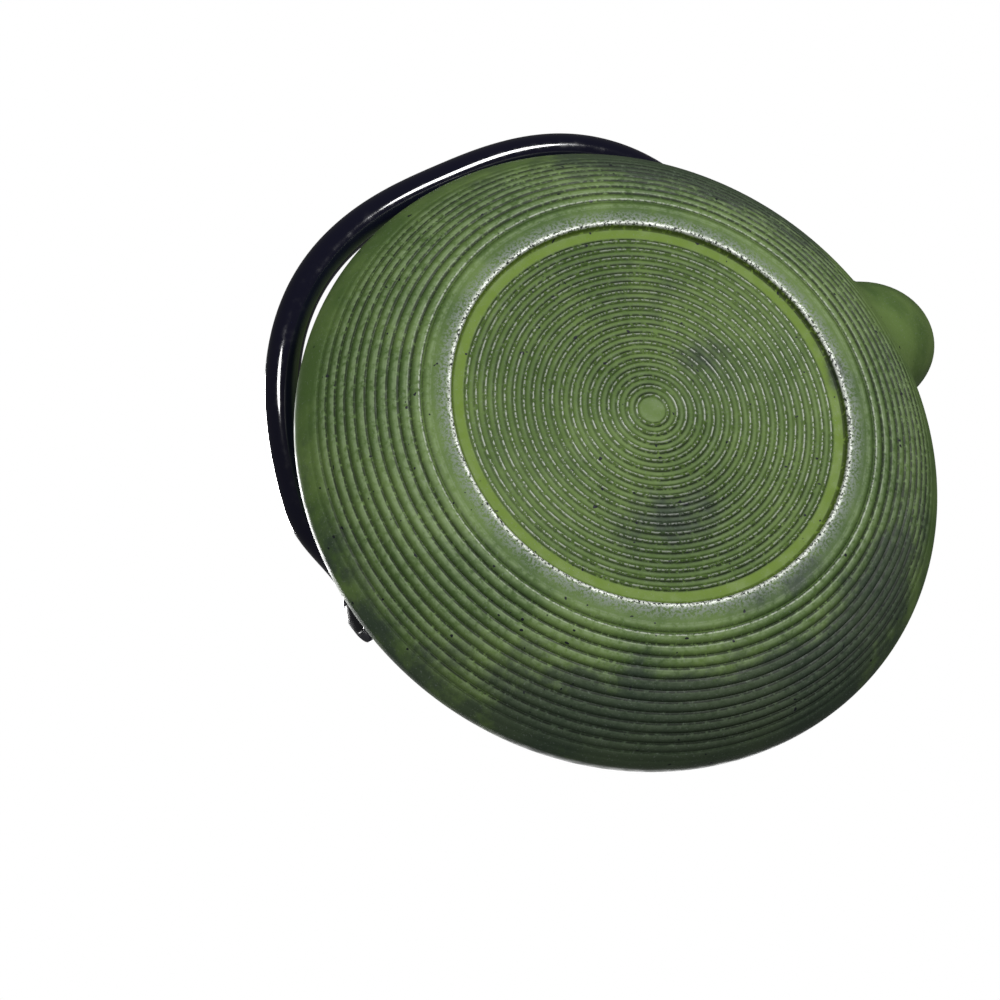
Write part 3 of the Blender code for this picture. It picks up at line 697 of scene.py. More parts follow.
# %% Where the lacquer is smudged, bare, or painted with light and shade
# Smudges from about 60 to 120 degrees round are partly painted shade, besides dark paint.
# azimuth and radius in degrees and millimetres, how far it spreads along each, strength
SMUDGES = (
    (112, 27, 34, 11, 0.50),
    (345, 19, 30, 8, 0.40),
    (298, 28, 34, 11, 0.28),
    (108, 75, 46, 13, 0.95),
    (66, 69, 26, 10, 0.70),
    (160, 80, 44, 6, 0.50),
    (312, 73, 34, 12, 0.74),
    (15, 48, 16, 3, 0.50),
    (82, 52, 22, 4, 0.40),
)
# The direction of the base's painted highlight.
PAINTED_GLEAM_AZIMUTH = math.radians(8)
BARE_RADIUS = 48.6 * MM
BARE_WIDTH = 0.5 * MM


def dark_patch_at(radius, azimuth):
    """How dark each point is from the smudges, which are partly painted shade, from 0 to 1."""
    dark = np.zeros(len(radius))
    for at_azimuth, at_radius, spread, width, strength in SMUDGES:
        turn = (np.degrees(azimuth) - at_azimuth + 180) % 360 - 180
        away = (turn / spread) ** 2 + ((radius / MM - at_radius) / width) ** 2
        dark = np.maximum(dark, strength * np.exp(-away))
    return dark


def add_marks(mesh, marks):
    """Stores each mark on the mesh, for the finish to read."""
    for name, values in marks.items():
        layer = mesh.attributes.new(name, "FLOAT", "POINT")
        layer.data.foreach_set("value", np.clip(values, 0, 1).astype(np.float32))


def from_axis(mesh):
    """Each point's radius, azimuth and height, then all three coordinates from the pot's axis."""
    points = np.empty(len(mesh.vertices) * 3)
    mesh.vertices.foreach_get("co", points)
    points = points.reshape(-1, 3) - np.array(AXIS)
    out, across, height = points.T
    return np.hypot(out, across), np.arctan2(across, out), height, points


def mark_body(mesh):
    """Writes the body's marks: worn crests, groove darkness and painted shade, the painted rib highlight,
    chalk, bare iron, painted light, and smudges with painted shade.
    """
    radius, azimuth, height, points = from_axis(mesh)
    on_flank = (radius > FLANK_START[0]) & (np.abs(radius - body_radius(height)) < 1.4 * MM)
    on_flank &= height < BELLY_HEIGHT
    run = np.interp(radius, flank[:, 0], flank_run)
    strength = rib_strength(run, azimuth, spout_distance(points)) * on_flank
    rib = (run / RIB_PITCH) % 1.0
    on_disc = (radius < DISC_RADIUS) & (height < 2.2 * MM)
    phase = (radius - THREAD_FIRST) / THREAD_PITCH
    threads = smooth(radius, THREAD_FIRST - 1.0 * MM, THREAD_FIRST - 0.5 * MM) * on_disc
    threads = threads * (1 - smooth(radius, THREAD_LAST + 0.4 * MM, THREAD_LAST + 0.9 * MM))
    # Painted highlight and shade on the base: the bare iron on the threads is painted brighter on two
    # opposite sides, and the ditches beside them darker on the other two.
    painted_gleam = 0.5 + 0.5 * np.cos(2 * (azimuth - PAINTED_GLEAM_AZIMUTH))
    inner_ribs = 1 - smooth(run, 2 * MM, 8 * MM)
    crest = 0.55 * strength * hump(rib, 0.14, 0.06) * inner_ribs
    crest = np.maximum(crest, threads * (0.55 + 0.45 * painted_gleam) * hump(phase, 0.0, 0.062))
    ditch = np.maximum(hump(phase, 0.22, 0.14), 0.8 * hump(phase, -0.20, 0.09))
    shaded_ring_wall = (radius > 47.4 * MM) & (radius < FOOT_INNER + 0.1 * MM) & (height < RECESS)
    # Black in the bottom of each groove, and painted shade fading in over the far face of each rib.
    groove = np.maximum(strength * hump(rib, 0.97, 0.155), 0.55 * strength * smooth(rib, 0.50, 0.95))
    # Painted shade in the ditches beside the base's threads, weaker on the painted-highlight sides.
    groove = np.maximum(groove, threads * (1.0 - 0.5 * painted_gleam) * ditch)
    # Painted shadow on the foot ring's inner wall, darkest towards azimuth 0.
    groove = np.maximum(groove, 0.75 * shaded_ring_wall * (0.6 + 0.4 * np.cos(azimuth)))
    on_ring = (height < 0.40 * MM) & (radius > FOOT_INNER - 0.2 * MM)
    bare = 0.9 * on_ring * np.exp(-(((radius - BARE_RADIUS) / BARE_WIDTH) ** 2))
    chalk = smooth(radius, 48.4 * MM, 49.0 * MM) * (1 - smooth(radius, 50.0 * MM, 52.2 * MM))
    margin = smooth(radius, 44.6 * MM, 45.4 * MM) * (radius < FOOT_INNER) * (height < 2.2 * MM)
    marks = {
        "crest": crest,
        "groove": groove,
        # Painted highlight: a paler green on each rib's face just past its groove.
        "lit": strength * np.maximum(0.8 * hump(rib, 0.19, 0.07), 0.42 * hump(rib, 0.36, 0.17)),
        "chalk": 0.8 * chalk * (height < 2 * MM),
        "bare": bare,
        # Painted light: a lighter yellow-green in the base's recess by the foot ring, and faintly over the
        # whole base.
        "painted_light": 0.85 * margin + 0.15 * on_disc,
        "smudge_and_shade": dark_patch_at(radius, azimuth) * (height < RIM_HEIGHT - 10 * MM),
    }
    add_marks(mesh, marks)


# %% [markdown]
# ## The casting
# The outside is a grid with a row for about every quarter of a millimetre across the ribs. Each point is
# first placed on the smooth profile and then pushed along the surface's normal by the rib or thread there.

# %% Outside of the casting
BODY_COLUMNS = 240
RIB_STEP = RIB_PITCH / 10
THREAD_STEP = THREAD_PITCH / 9


def outside_profile():
    """(radius, height, kind) rows from the collar's top to the middle of the base."""
    rim = rounded(
        [
            (36 * MM, RIM_HEIGHT),
            (COLLAR_RADIUS, RIM_HEIGHT),
            (COLLAR_RADIUS, shoulder_at(math.acos(COLLAR_RADIUS / BODY_RADIUS))[1]),
            shoulder_at(0.85),
        ],
        0.9 * MM,
    )
    rows = [(radius, height, "plain") for radius, height in rim]
    rows += [(*shoulder_at(0.82 * (1 - step / 22)), "plain") for step in range(22)]
    ribbed = np.arange(flank_run[-1], 0, -RIB_STEP)
    rows += [
        (np.interp(run, flank_run, flank[:, 0]), np.interp(run, flank_run, flank[:, 1]), "rib")
        for run in ribbed
    ]
    foot = rounded(
        [
            FLANK_START,
            (FOOT_OUTER, 0.0),
            (FOOT_INNER, 0.0),
            (FOOT_INNER - 0.5 * MM, RECESS),
            (DISC_RADIUS - 1 * MM, RECESS - CROWN * (1 - (46 / 47) ** 2)),
        ],
        0.55 * MM,
    )
    rows += [(radius, height, "plain") for radius, height in foot]
    for radius in np.arange(DISC_RADIUS - 1.2 * MM, THREAD_STEP, -THREAD_STEP):
        rows.append((radius, RECESS - CROWN * (1 - (radius / DISC_RADIUS) ** 2), "thread"))
    return rows


def make_outside():
    rows = outside_profile()
    line = np.array([row[:2] for row in rows])
    kinds = np.array([row[2] for row in rows])
    along = np.gradient(line, axis=0)
    along /= np.linalg.norm(along, axis=1)[:, None] + 1e-12
    outward = np.stack([-along[:, 1], along[:, 0]], 1)
    angle = np.linspace(-np.pi, np.pi, BODY_COLUMNS, endpoint=False)
    radius = np.repeat(line[:, :1], BODY_COLUMNS, 1)
    height = np.repeat(line[:, 1:], BODY_COLUMNS, 1)
    azimuth = np.repeat(angle[None], len(rows), 0)
    points = np.stack([radius * np.cos(azimuth), radius * np.sin(azimuth), height], -1)
    gap = spout_distance(points.reshape(-1, 3)).reshape(radius.shape)
    run = np.interp(radius, flank[:, 0], flank_run)
    ribs = -RIB_DEPTH * rib_strength(run, azimuth, gap) * rib_depth(run)
    threads = THREAD_HEIGHT * thread_height(radius)
    push = np.where(kinds[:, None] == "rib", ribs, 0.0)
    push = np.where(kinds[:, None] == "thread", threads, push)
    radius = radius + push * outward[:, :1]
    height = height + push * outward[:, 1:]
    rows = np.stack([AXIS.x + radius * np.cos(azimuth), AXIS.y + radius * np.sin(azimuth), height], -1)
    tips = ((AXIS.x, AXIS.y, RIM_HEIGHT), (AXIS.x, AXIS.y, RECESS - CROWN))
    return grid_object("pot_casting", rows, fans=tips)


pot_casting = make_outside()
print("outside of the casting:", len(pot_casting.data.polygons), "faces")

# %% [markdown]
# The spout is a loft. Rings run down its line from the mouth; where each lengthwise line reaches the
# belly it turns aside through a small fillet and ends just under the belly's surface, so the two shapes
# flow together as they do in a casting. The lines then close inside the wall, which is cut away later.

# %% Spout
SPOUT_SIDES = 72
SPOUT_RINGS = 34
FILLET = 5.0 * MM
FILLET_RINGS = 8
FILLET_SINK = 0.12 * MM
SPOUT_END_SINK = 1.2 * MM
ROOT_STEP = 0.004
SPOUT_HEART = Vector((62 * MM, 0.0, 30 * MM))


def outside_gap(point):
    """How far a point is outside the belly, and the belly's outward normal there."""
    radius = math.hypot(point.x, point.y)
    step = 0.05 * MM
    slope = float(body_radius(point.z + step) - body_radius(point.z - step)) / (2 * step)
    normal = Vector((point.x / radius, point.y / radius, -slope)).normalized()
    return (radius - float(body_radius(point.z))) * math.cos(math.atan(slope)), normal


def on_belly(point, sink):
    """The point moved onto the belly, and then in under its surface by a little."""
    for _ in range(6):
        gap, normal = outside_gap(point)
        point = point - normal * gap
    return point - outside_gap(point)[1] * sink


def spout_point(share, angle):
    centre, forward, radius = spout_at(share)
    return centre + spoke(forward, angle) * radius, centre


def spout_lengthwise(angle):
    """One line of points down the spout's outside and over the fillet onto the belly."""
    root = 1.0
    while outside_gap(spout_point(root, angle)[0])[0] > 0:
        root -= ROOT_STEP
    meet, centre = spout_point(root, angle)
    pace = (spout_at(root + 0.01)[0] - centre).length / 0.01
    start_share = min(root + FILLET / pace, 0.9)
    shares = [1 + (start_share - 1) * ring / (SPOUT_RINGS - 1) for ring in range(SPOUT_RINGS)]
    line = [spout_point(share, angle)[0] for share in shares]
    normal = outside_gap(meet)[1]
    away = meet - centre
    away = (away - normal * away.dot(normal)).normalized()
    landing = on_belly(meet + away * FILLET, FILLET_SINK)
    start = line[-1]
    for ring in range(1, FILLET_RINGS + 1):
        share = ring / FILLET_RINGS
        line.append(start.lerp(meet, share).lerp(meet.lerp(landing, share), share))
    line.append(landing - outside_gap(landing)[1] * SPOUT_END_SINK)
    return line


def make_spout():
    lines = [spout_lengthwise(2 * math.pi * side / SPOUT_SIDES) for side in range(SPOUT_SIDES)]
    rows = np.array([[tuple(point) for point in line] for line in lines]).transpose(1, 0, 2)
    tip = np.array(spout_at(1.0)[0])
    lip = tip + (rows[0] - tip) * 0.93
    rows[0] = tip + (rows[0] - tip) * 0.985
    rows = np.concatenate([[lip + (rows[0] - rows[1]) * 0.25], rows])
    rows = rows + np.array(AXIS)
    return grid_object("spout", rows, fans=(rows[0].mean(0), SPOUT_HEART + AXIS))


spout = make_spout()
print("spout:", len(spout.data.polygons), "faces")

# %% [markdown]
# The two lugs that carry the handle are upright tabs with a round head. Each is a loft of soft
# rectangles, with a hollow flare where it grows out of the shoulder.

# %% Lugs
LUG_PLACE = 60 * MM
LUG_HALF = 3 * MM
LUG_HEAD = 6.5 * MM
LUG_ROOT_HALF = 8.6 * MM
LUG_DROP = 20 * MM
LUG_BOTTOM = HINGE_HEIGHT - 23 * MM
LUG_SQUARENESS = 0.45
LUG_FLARE = 2.4 * MM
LUG_FLARE_FADE = 1.6 * MM
PIN_HOLE = 2.5 * MM
PIN_HOLE_REACH = 9 * MM


def squarish(value, power):
    """A cosine or sine made blunter, which turns a circle into a soft rectangle."""
    return math.copysign(abs(value) ** power, value)


def lug_half_width(height):
    over = height - HINGE_HEIGHT
    if over > 0:
        return math.sqrt(max(LUG_HEAD**2 - over**2, 0.0))
    drop = min(1.0, -over / LUG_DROP)
    return LUG_HEAD + (LUG_ROOT_HALF - LUG_HEAD) * drop**1.5


def make_lug(name, side):
    rows = []
    head = [HINGE_HEIGHT + LUG_HEAD * math.sin(math.pi / 2 * step / 12) for step in range(13)]
    heights = [*np.linspace(LUG_BOTTOM, HINGE_HEIGHT - 1 * MM, 30), *head[:-1]]
    for height in heights:
        near_top = max(0.0, (height - HINGE_HEIGHT) / LUG_HEAD)
        half = LUG_HALF * (1 - 0.35 * near_top**6)
        ring = []
        for step in range(48):
            turn = 2 * math.pi * step / 48
            across = squarish(math.cos(turn), LUG_SQUARENESS) * half
            along = squarish(math.sin(turn), LUG_SQUARENESS) * lug_half_width(height)
            out = LUG_PLACE + across
            reach = min(math.hypot(out, along) / BODY_RADIUS, 0.999)
            ground = BELLY_HEIGHT + SHOULDER_RISE * math.sqrt(1 - reach**2)
            flare = LUG_FLARE * math.exp(-max(height - ground, 0.0) / LUG_FLARE_FADE)
            spread = Vector((across / half, along / LUG_HEAD)).normalized() * flare
            ring.append((side * (out + spread.x), along + spread.y, height))
        rows.append(ring)
    rows = np.array(rows) + np.array(AXIS)
    tips = (rows[0].mean(0), (AXIS.x + side * LUG_PLACE, AXIS.y, HINGE_HEIGHT + LUG_HEAD))
    return grid_object(name, rows, fans=tips)


def pin_hole(name, side):
    """A cutter through one lug, along the hinge's line."""
    angle = circle(40)
    ring = np.stack([PIN_HOLE * np.cos(angle), PIN_HOLE * np.sin(angle) + HINGE_HEIGHT], 1)
    ends = [side * (LUG_PLACE + reach) for reach in (-PIN_HOLE_REACH, PIN_HOLE_REACH)]
    rows = np.array([[(end, along, up) for along, up in ring] for end in ends]) + np.array(AXIS)
    return grid_object(name, rows, fans=(rows[0].mean(0), rows[1].mean(0)))


lugs = [make_lug("front_lug", 1), make_lug("rear_lug", -1)]

# %% [markdown]
# Inside, the casting is a plain bowl three millimetres inside its outside, with a step under the rim
# where the basket and the lid sit, and a channel up the spout that flares at the lip. Joining and cutting
# are Booleans, done one after another.

# %% Cavity and channel
CHANNEL_START = 0.12
LIP_FLARE = ((0.7 * MM, 1.7 * MM), (4 * MM, 1.0 * MM))


def make_cavity():
    """The cutter for the bowl, the seat and the mouth."""
    shoulder = [shoulder_at(0.99 * (1 - step / 20)) for step in range(21)]
    outer = np.vstack([shoulder, flank[::-160]])
    along = np.gradient(outer, axis=0)
    along /= np.linalg.norm(along, axis=1)[:, None]
    inner = outer + WALL * np.stack([along[:, 1], -along[:, 0]], 1)
    inner = inner[(inner[:, 1] > FLOOR_HEIGHT + 0.2 * MM) & (inner[:, 0] > MOUTH_RADIUS + 2 * MM)]
    neck = rounded(
        [
            (SEAT_RADIUS + 2 * MM, RIM_HEIGHT + 1.2 * MM),
            (SEAT_RADIUS, RIM_HEIGHT - 0.9 * MM),
            (SEAT_RADIUS, SEAT_HEIGHT),
            (MOUTH_RADIUS, SEAT_HEIGHT),
            (MOUTH_RADIUS, inner[0][1] + 0.6 * MM),
            tuple(inner[0]),
        ],
        0.5 * MM,
    )
    top = [(0.0, RIM_HEIGHT + 4 * MM), (SEAT_RADIUS + 2 * MM, RIM_HEIGHT + 4 * MM)]
    profile = top + neck + [tuple(point) for point in inner[1:]] + [(0.0, FLOOR_HEIGHT)]
    return turned("cavity", profile, columns=120, closed=False)


def make_channel():
    """The cutter for the spout's inside. Its last two rings, past the tip, flare the lip."""
    rings = []
    for step in range(25):
        centre, forward, radius = spout_at(CHANNEL_START + (1 - CHANNEL_START) * step / 24)
        rings.append((centre, forward, radius - SPOUT_WALL))
    centre, forward, radius = spout_at(1.0)
    for past_tip, wall in LIP_FLARE:
        rings.append((centre + forward * past_tip, forward, radius - wall))
    rows = np.array(
        [
            [tuple(AXIS + centre + spoke(forward, 2 * math.pi * side / 56) * radius) for side in range(56)]
            for centre, forward, radius in rings
        ]
    )
    return grid_object("channel", rows, fans=(rows[0].mean(0), rows[-1].mean(0)))


boolean(pot_casting, "UNION", spout, *lugs)
boolean(
    pot_casting,
    "DIFFERENCE",
    make_cavity(),
    make_channel(),
    pin_hole("front_hole", 1),
    pin_hole("rear_hole", -1),
)
mark_body(pot_casting.data)
finish_piece(pot_casting, "pot_body", "pot", green_iron)

# %% [markdown]
# ## The bail handle
# The handle is a round bar bent to a squarish arch, a superellipse, which droops from its hinge until it
# rests by the shoulder. Towards each end the bar is forged flatter and runs into a round eye. It is
# modelled lying flat, with the hinge along X, and then turned down by the angle that the frame shows.

# %% Handle sizes
handle_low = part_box("bail_handle")[0]
BAR_RADIUS = 4.25 * MM
BAIL_HALF_SPAN = 70.4 * MM
BAIL_HEIGHT = 88 * MM
BAIL_SQUARENESS = 2.7
EYE_INNER = 63.3 * MM
EYE_OUTER = 67.8 * MM
EYE_RADIUS = 6.9 * MM
EYE_CORNER = 1.1 * MM
BAR_START = 4.6 * MM
BAR_END_FLAT = 2.2 * MM
BAR_END_TALL = 5.4 * MM
TAPER = 26 * MM
PLAIN_BAR_RADIUS = 4.3 * MM
droop_reach = AXIS.y - handle_low.y - PLAIN_BAR_RADIUS
DROOP = math.acos(droop_reach / BAIL_HEIGHT)
print("the handle droops by", round(math.degrees(DROOP), 1), "degrees")

# %% Handle


def handle_place():
    """The turn and shift from the flat handle to its place on the pot."""
    return Matrix.Translation(AXIS + Vector((0.0, 0.0, HINGE_HEIGHT))) @ Matrix.Rotation(DROOP, 4, "X")


def bar_line(count):
    """Points along the bar, each with how far it has grown from the flat end to the full round."""
    middle = (EYE_INNER + EYE_OUTER) / 2
    line = []
    for step in range(count + 1):
        angle = math.pi * step / count
        across = squarish(math.cos(angle), 2 / BAIL_SQUARENESS)
        out = max(BAIL_HEIGHT * abs(math.sin(angle)) ** (2 / BAIL_SQUARENESS), BAR_START)
        share = min(1.0, (out - BAR_START) / TAPER)
        ease = share * share * (3 - 2 * share)
        width = abs(across) * BAIL_HALF_SPAN
        width = middle + (width - middle) * ease if share < 1 else width
        line.append((Vector((math.copysign(width, across), -out, 0.0)), ease))
    return line


def make_bar():
    line = bar_line(260)
    line = line[:1] + [
        here for before, here in zip(line, line[1:]) if (here[0] - before[0]).length > 0.01 * MM
    ]
    rows = []
    for index, (point, ease) in enumerate(line):
        before = line[max(index - 1, 0)][0]
        after = line[min(index + 1, len(line) - 1)][0]
        forward = (after - before).normalized()
        side = Vector((-forward.y, forward.x, 0.0))
        flat = BAR_END_FLAT + (BAR_RADIUS - BAR_END_FLAT) * ease
        tall = BAR_END_TALL + (BAR_RADIUS - BAR_END_TALL) * ease
        rows.append(
            [
                tuple(point + side * flat * math.cos(a) + Vector((0, 0, tall * math.sin(a))))
                for a in circle(32)
            ]
        )
    return grid_object("handle_bar", rows, fans=(tuple(line[0][0]), tuple(line[-1][0])))


def turned_across(name, profile, side, columns=64, tips=None):
    """A (radius, distance) profile turned about the hinge's line, while that lies along X.

    Without tips the profile is a closed ring. With them it ends on the line at those two distances.
    """
    rows = [
        [(side * along, radius * math.cos(a), radius * math.sin(a)) for a in circle(columns)]
        for radius, along in profile
    ]
    if tips is None:
        return grid_object(name, rows, close_rows=True)
    return grid_object(name, rows, fans=[(side * tip, 0, 0) for tip in tips])


def ring_profile(inner, outer, near, far, corner):
    """A rounded rectangle, as the closed profile of a ring."""
    points = [(inner, near), (outer, near), (outer, far), (inner, far)]
    middle = ((inner + outer) / 2, near)
    return rounded([middle, *points[1:], points[0], middle], corner)[:-1]


def make_handle():
    bar = make_bar()
    eye = ring_profile(PIN_HOLE, EYE_RADIUS, EYE_INNER, EYE_OUTER, EYE_CORNER)
    eyes = [turned_across("eye", eye, side) for side in (1, -1)]
    ends = (EYE_INNER - MM, EYE_OUTER + MM)
    bore = [(PIN_HOLE, end) for end in ends]
    bores = [turned_across("eye_bore", bore, side, columns=48, tips=ends) for side in (1, -1)]
    boolean(bar, "UNION", *eyes)
    boolean(bar, "DIFFERENCE", *bores)
    bar.data.transform(handle_place())
    bar.name = "black_bail"
    finish_piece(bar, "bail_handle", "handle", black_enamel)


make_handle()

# %% [markdown]
# Each eye turns on a short pin with a domed head at both ends. The pins belong to the pot.

# %% Hinge pins
PIN_RADIUS = 2.2 * MM
PIN_HEAD = 3.75 * MM
PIN_HEAD_HEIGHT = 1.5 * MM
PIN_INNER = 56.7 * MM
PIN_OUTER = 68.1 * MM


def make_pin(name, side):
    dome = [
        (PIN_HEAD * math.sin(turn), PIN_HEAD_HEIGHT * (0.2 + 0.8 * math.cos(turn)))
        for turn in [math.pi / 2 * step / 8 for step in range(1, 9)]
    ]
    outer = [(radius, PIN_OUTER + rise) for radius, rise in dome]
    inner = [(radius, PIN_INNER - rise) for radius, rise in reversed(dome)]
    shank = [
        (PIN_HEAD, PIN_OUTER),
        (PIN_RADIUS, PIN_OUTER),
        (PIN_RADIUS, PIN_INNER),
        (PIN_HEAD, PIN_INNER),
    ]
    tips = (PIN_OUTER + PIN_HEAD_HEIGHT, PIN_INNER - PIN_HEAD_HEIGHT)
    pin = turned_across(name, outer + shank + inner, side, columns=48, tips=tips)
    pin.data.transform(Matrix.Translation(AXIS + Vector((0, 0, HINGE_HEIGHT))))
    finish_piece(pin, name.replace("black_", "") + "_hinge_pin", "pot", black_iron)


make_pin("black_front", 1)
make_pin("black_rear", -1)

# %% [markdown]
# ## The lid
# The lid is a shallow dome with nine threads, a rim rubbed bright, a dark edge, a steam hole, and a
# flange below that keeps it centred. Near the knob the plate is plain. Its marks are worked out from the
# radius, as the pot's were.

# %% Lid plate
LID_BOTTOM = lid_low.z + 5 * MM
LID_TOP = lid_high.z
LID_RADIUS = 38.4 * MM
LID_RIM_RADIUS = 35.2 * MM
LID_RIM_RISE = 3.4 * MM
LID_EDGE = 1.2 * MM
LID_DOME_CURVE = 1.6
LID_THICKNESS = 3.0 * MM
KNOB_FOOT = 8.7 * MM
FLANGE_RADIUS = 31.9 * MM
FLANGE_WALL = 2.5 * MM
FLANGE_DEPTH = 5.0 * MM
RIVET_HOLE = 1.2 * MM
VENT_PLACE = -21.4 * MM
VENT_RADIUS = 2.1 * MM
LID_THREAD_FIRST = 13.2 * MM
LID_THREAD_PITCH = 2.45 * MM
LID_THREADS = 9
LID_THREAD_HEIGHT = 0.26 * MM


def lid_top(radius):
    share = max(0.0, (radius - KNOB_FOOT) / (LID_RIM_RADIUS - KNOB_FOOT))
    return LID_TOP - (LID_TOP - LID_BOTTOM - LID_RIM_RISE) * share**LID_DOME_CURVE


def lid_thread(radius):
    """The lid's threads, as shares of their height; below 0 in the ditches beside them."""
    radius = np.asarray(radius, float)
    phase = (radius - LID_THREAD_FIRST) / LID_THREAD_PITCH
    last = LID_THREAD_FIRST + (LID_THREADS - 1) * LID_THREAD_PITCH
    within = smooth(radius, LID_THREAD_FIRST - 0.9 * MM, LID_THREAD_FIRST - 0.5 * MM)
    within = within * (1 - smooth(radius, last + 0.5 * MM, last + 0.9 * MM))
    ditch = hump(phase, 0.17, 0.07) + hump(phase, -0.17, 0.07)
    return within * (hump(phase, 0.0, 0.085) - 0.4 * ditch)


def lid_profile():
    top = [(RIVET_HOLE, LID_TOP), (KNOB_FOOT, LID_TOP)]
    for radius in np.arange(KNOB_FOOT + 0.4 * MM, LID_RIM_RADIUS - 0.8 * MM, LID_THREAD_PITCH / 9):
        top.append((radius, lid_top(radius) + LID_THREAD_HEIGHT * float(lid_thread(radius))))
    inside = FLANGE_RADIUS - FLANGE_WALL
    edge = rounded(
        [
            top[-1],
            (LID_RIM_RADIUS, lid_top(LID_RIM_RADIUS)),
            (LID_RADIUS - 0.1 * MM, LID_BOTTOM + LID_EDGE + 0.9 * MM),
            (LID_RADIUS, LID_BOTTOM),
            (FLANGE_RADIUS, LID_BOTTOM),
            (FLANGE_RADIUS, LID_BOTTOM - FLANGE_DEPTH),
            (inside, LID_BOTTOM - FLANGE_DEPTH),
            (inside, lid_top(inside) - LID_THICKNESS),
            (inside - 3 * MM, lid_top(inside - 3 * MM) - LID_THICKNESS),
        ],
        0.7 * MM,
    )
    inward = np.linspace(inside - 4 * MM, KNOB_FOOT, 10)
    under = [(radius, lid_top(radius) - LID_THICKNESS) for radius in inward]
    return top + edge[1:] + under + [(RIVET_HOLE, LID_TOP - LID_THICKNESS)]


def vent_cutter():
    """The cutter for the steam hole, which widens towards the top."""
    middle = AXIS + Vector((VENT_PLACE, 0.0, 0.0))
    flare = [(LID_BOTTOM - MM, 1.0), (LID_TOP - 1.9 * MM, 1.0), (LID_TOP + 2 * MM, 1.75)]
    rows = [
        [
            (middle.x + VENT_RADIUS * grow * math.cos(a), middle.y + VENT_RADIUS * grow * math.sin(a), height)
            for a in circle(40)
        ]
        for height, grow in flare
    ]
    tips = [(middle.x, middle.y, flare[index][0]) for index in (0, -1)]
    return grid_object("vent", rows, fans=tips)


def mark_lid(mesh):
    radius, azimuth, height, points = from_axis(mesh)
    on_top = height > LID_BOTTOM + 2.4 * MM
    thread = lid_thread(radius) * on_top
    rim = np.exp(-(((radius - LID_RIM_RADIUS - 0.1 * MM) / (0.75 * MM)) ** 2))
    edge = smooth(radius, LID_RIM_RADIUS + 0.9 * MM, LID_RIM_RADIUS + 1.8 * MM)
    vent = np.hypot(points[:, 0] - VENT_PLACE, points[:, 1])
    patch = 0.45 * np.exp(-(((np.degrees(azimuth) - 70) / 50) ** 2) - ((radius / MM - 27) / 8) ** 2)
    marks = {
        "crest": 1.1 * thread,
        "groove": np.maximum(-2.0 * thread, edge),
        "bare": rim * (height > LID_BOTTOM + 1.6 * MM),
        # Painted light: a lighter yellow-green on the lid near the knob.
        "painted_light": 0.35 * on_top * (1 - smooth(radius, 9 * MM, 14 * MM)),
        "smudge_and_shade": np.maximum(patch, 1.2 * (1 - smooth(vent, 2.0 * MM, 3.4 * MM))),
    }
    add_marks(mesh, marks)


ribbed_lid = turned("ribbed_lid", lid_profile(), columns=216)
boolean(ribbed_lid, "DIFFERENCE", vent_cutter())
mark_lid(ribbed_lid.data)
finish_piece(ribbed_lid, "lid_plate", "lid", green_iron)

# %% [markdown]
# The knob is a slim neck that flares to its foot. A pocket in its top holds the star washer: a domed hub
# with eight short teeth, pressed from bright steel. A black rivet runs down the middle and is closed
# over a plain washer under the lid.

# %% Knob
knob_low, knob_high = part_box("lid_knob")
KNOB_TOP_RADIUS = 6.1 * MM
STAR_RADIUS = 5.0 * MM
STAR_HUB = 3.5 * MM
STAR_BOTTOM = knob_high.z - 1.1 * MM
POCKET_RADIUS = STAR_RADIUS + 0.3 * MM
KNOB_BORE = STAR_RADIUS - 0.3 * MM
KNOB_FLOOR = knob_low.z + 3.1 * MM
TEETH = 8
COLUMNS_PER_TOOTH = 12
STAR_SHEET = 0.45 * MM


def knob_profile():
    height = knob_high.z - knob_low.z
    outside = []
    for step in range(31):
        share = 0.96 * (1 - step / 30)
        radius = KNOB_TOP_RADIUS + (KNOB_FOOT - KNOB_TOP_RADIUS) * (1 - share) ** 2
        outside.append((radius, knob_low.z + height * share))
    rim = rounded(
        [
            (POCKET_RADIUS, STAR_BOTTOM),
            (POCKET_RADIUS, knob_high.z),
            outside[0],
            outside[1],
        ],
        0.6 * MM,
    )
    inside = [
        (RIVET_HOLE, knob_low.z),
        (RIVET_HOLE, KNOB_FLOOR),
        (KNOB_BORE - 0.8 * MM, KNOB_FLOOR),
        (KNOB_BORE, KNOB_FLOOR + 0.8 * MM),
        (KNOB_BORE, STAR_BOTTOM - 0.3 * MM),
        (POCKET_RADIUS, STAR_BOTTOM - 0.3 * MM),
    ]
    return rim + outside[2:] + inside


def mark_knob(mesh):
    radius, _, height, _ = from_axis(mesh)
    up = (height - knob_low.z) / (knob_high.z - knob_low.z)
    bore = radius < STAR_RADIUS - 0.1 * MM
    marks = {
        "crest": 0.35 * smooth(up, 0.96, 0.99) * (1 - bore),
        # Painted shade: the knob's bore, seen between the star washer's teeth, is painted black.
        "groove": 1.0 * bore,
        # Painted light: the knob turns a lighter yellow-green towards its top.
        "painted_light": 0.25 + 0.3 * smooth(up, 0.7, 1.0),
        # Painted shade darkens the knob towards its foot.
        "smudge_and_shade": 0.5 * (1 - smooth(up, 0.0, 0.25)),
    }
    add_marks(mesh, marks)


flared_knob = turned("flared_knob", knob_profile(), columns=96)
mark_knob(flared_knob.data)
finish_piece(flared_knob, "lid_knob", "lid", green_iron)

# %% Star washer


def star_height(radius):
    """The hub's dome: level at the rivet, falling to the flat teeth."""
    share = min(1.0, radius / STAR_HUB)
    return STAR_BOTTOM + 0.5 * MM + 0.95 * MM * (1 - share**2.4)


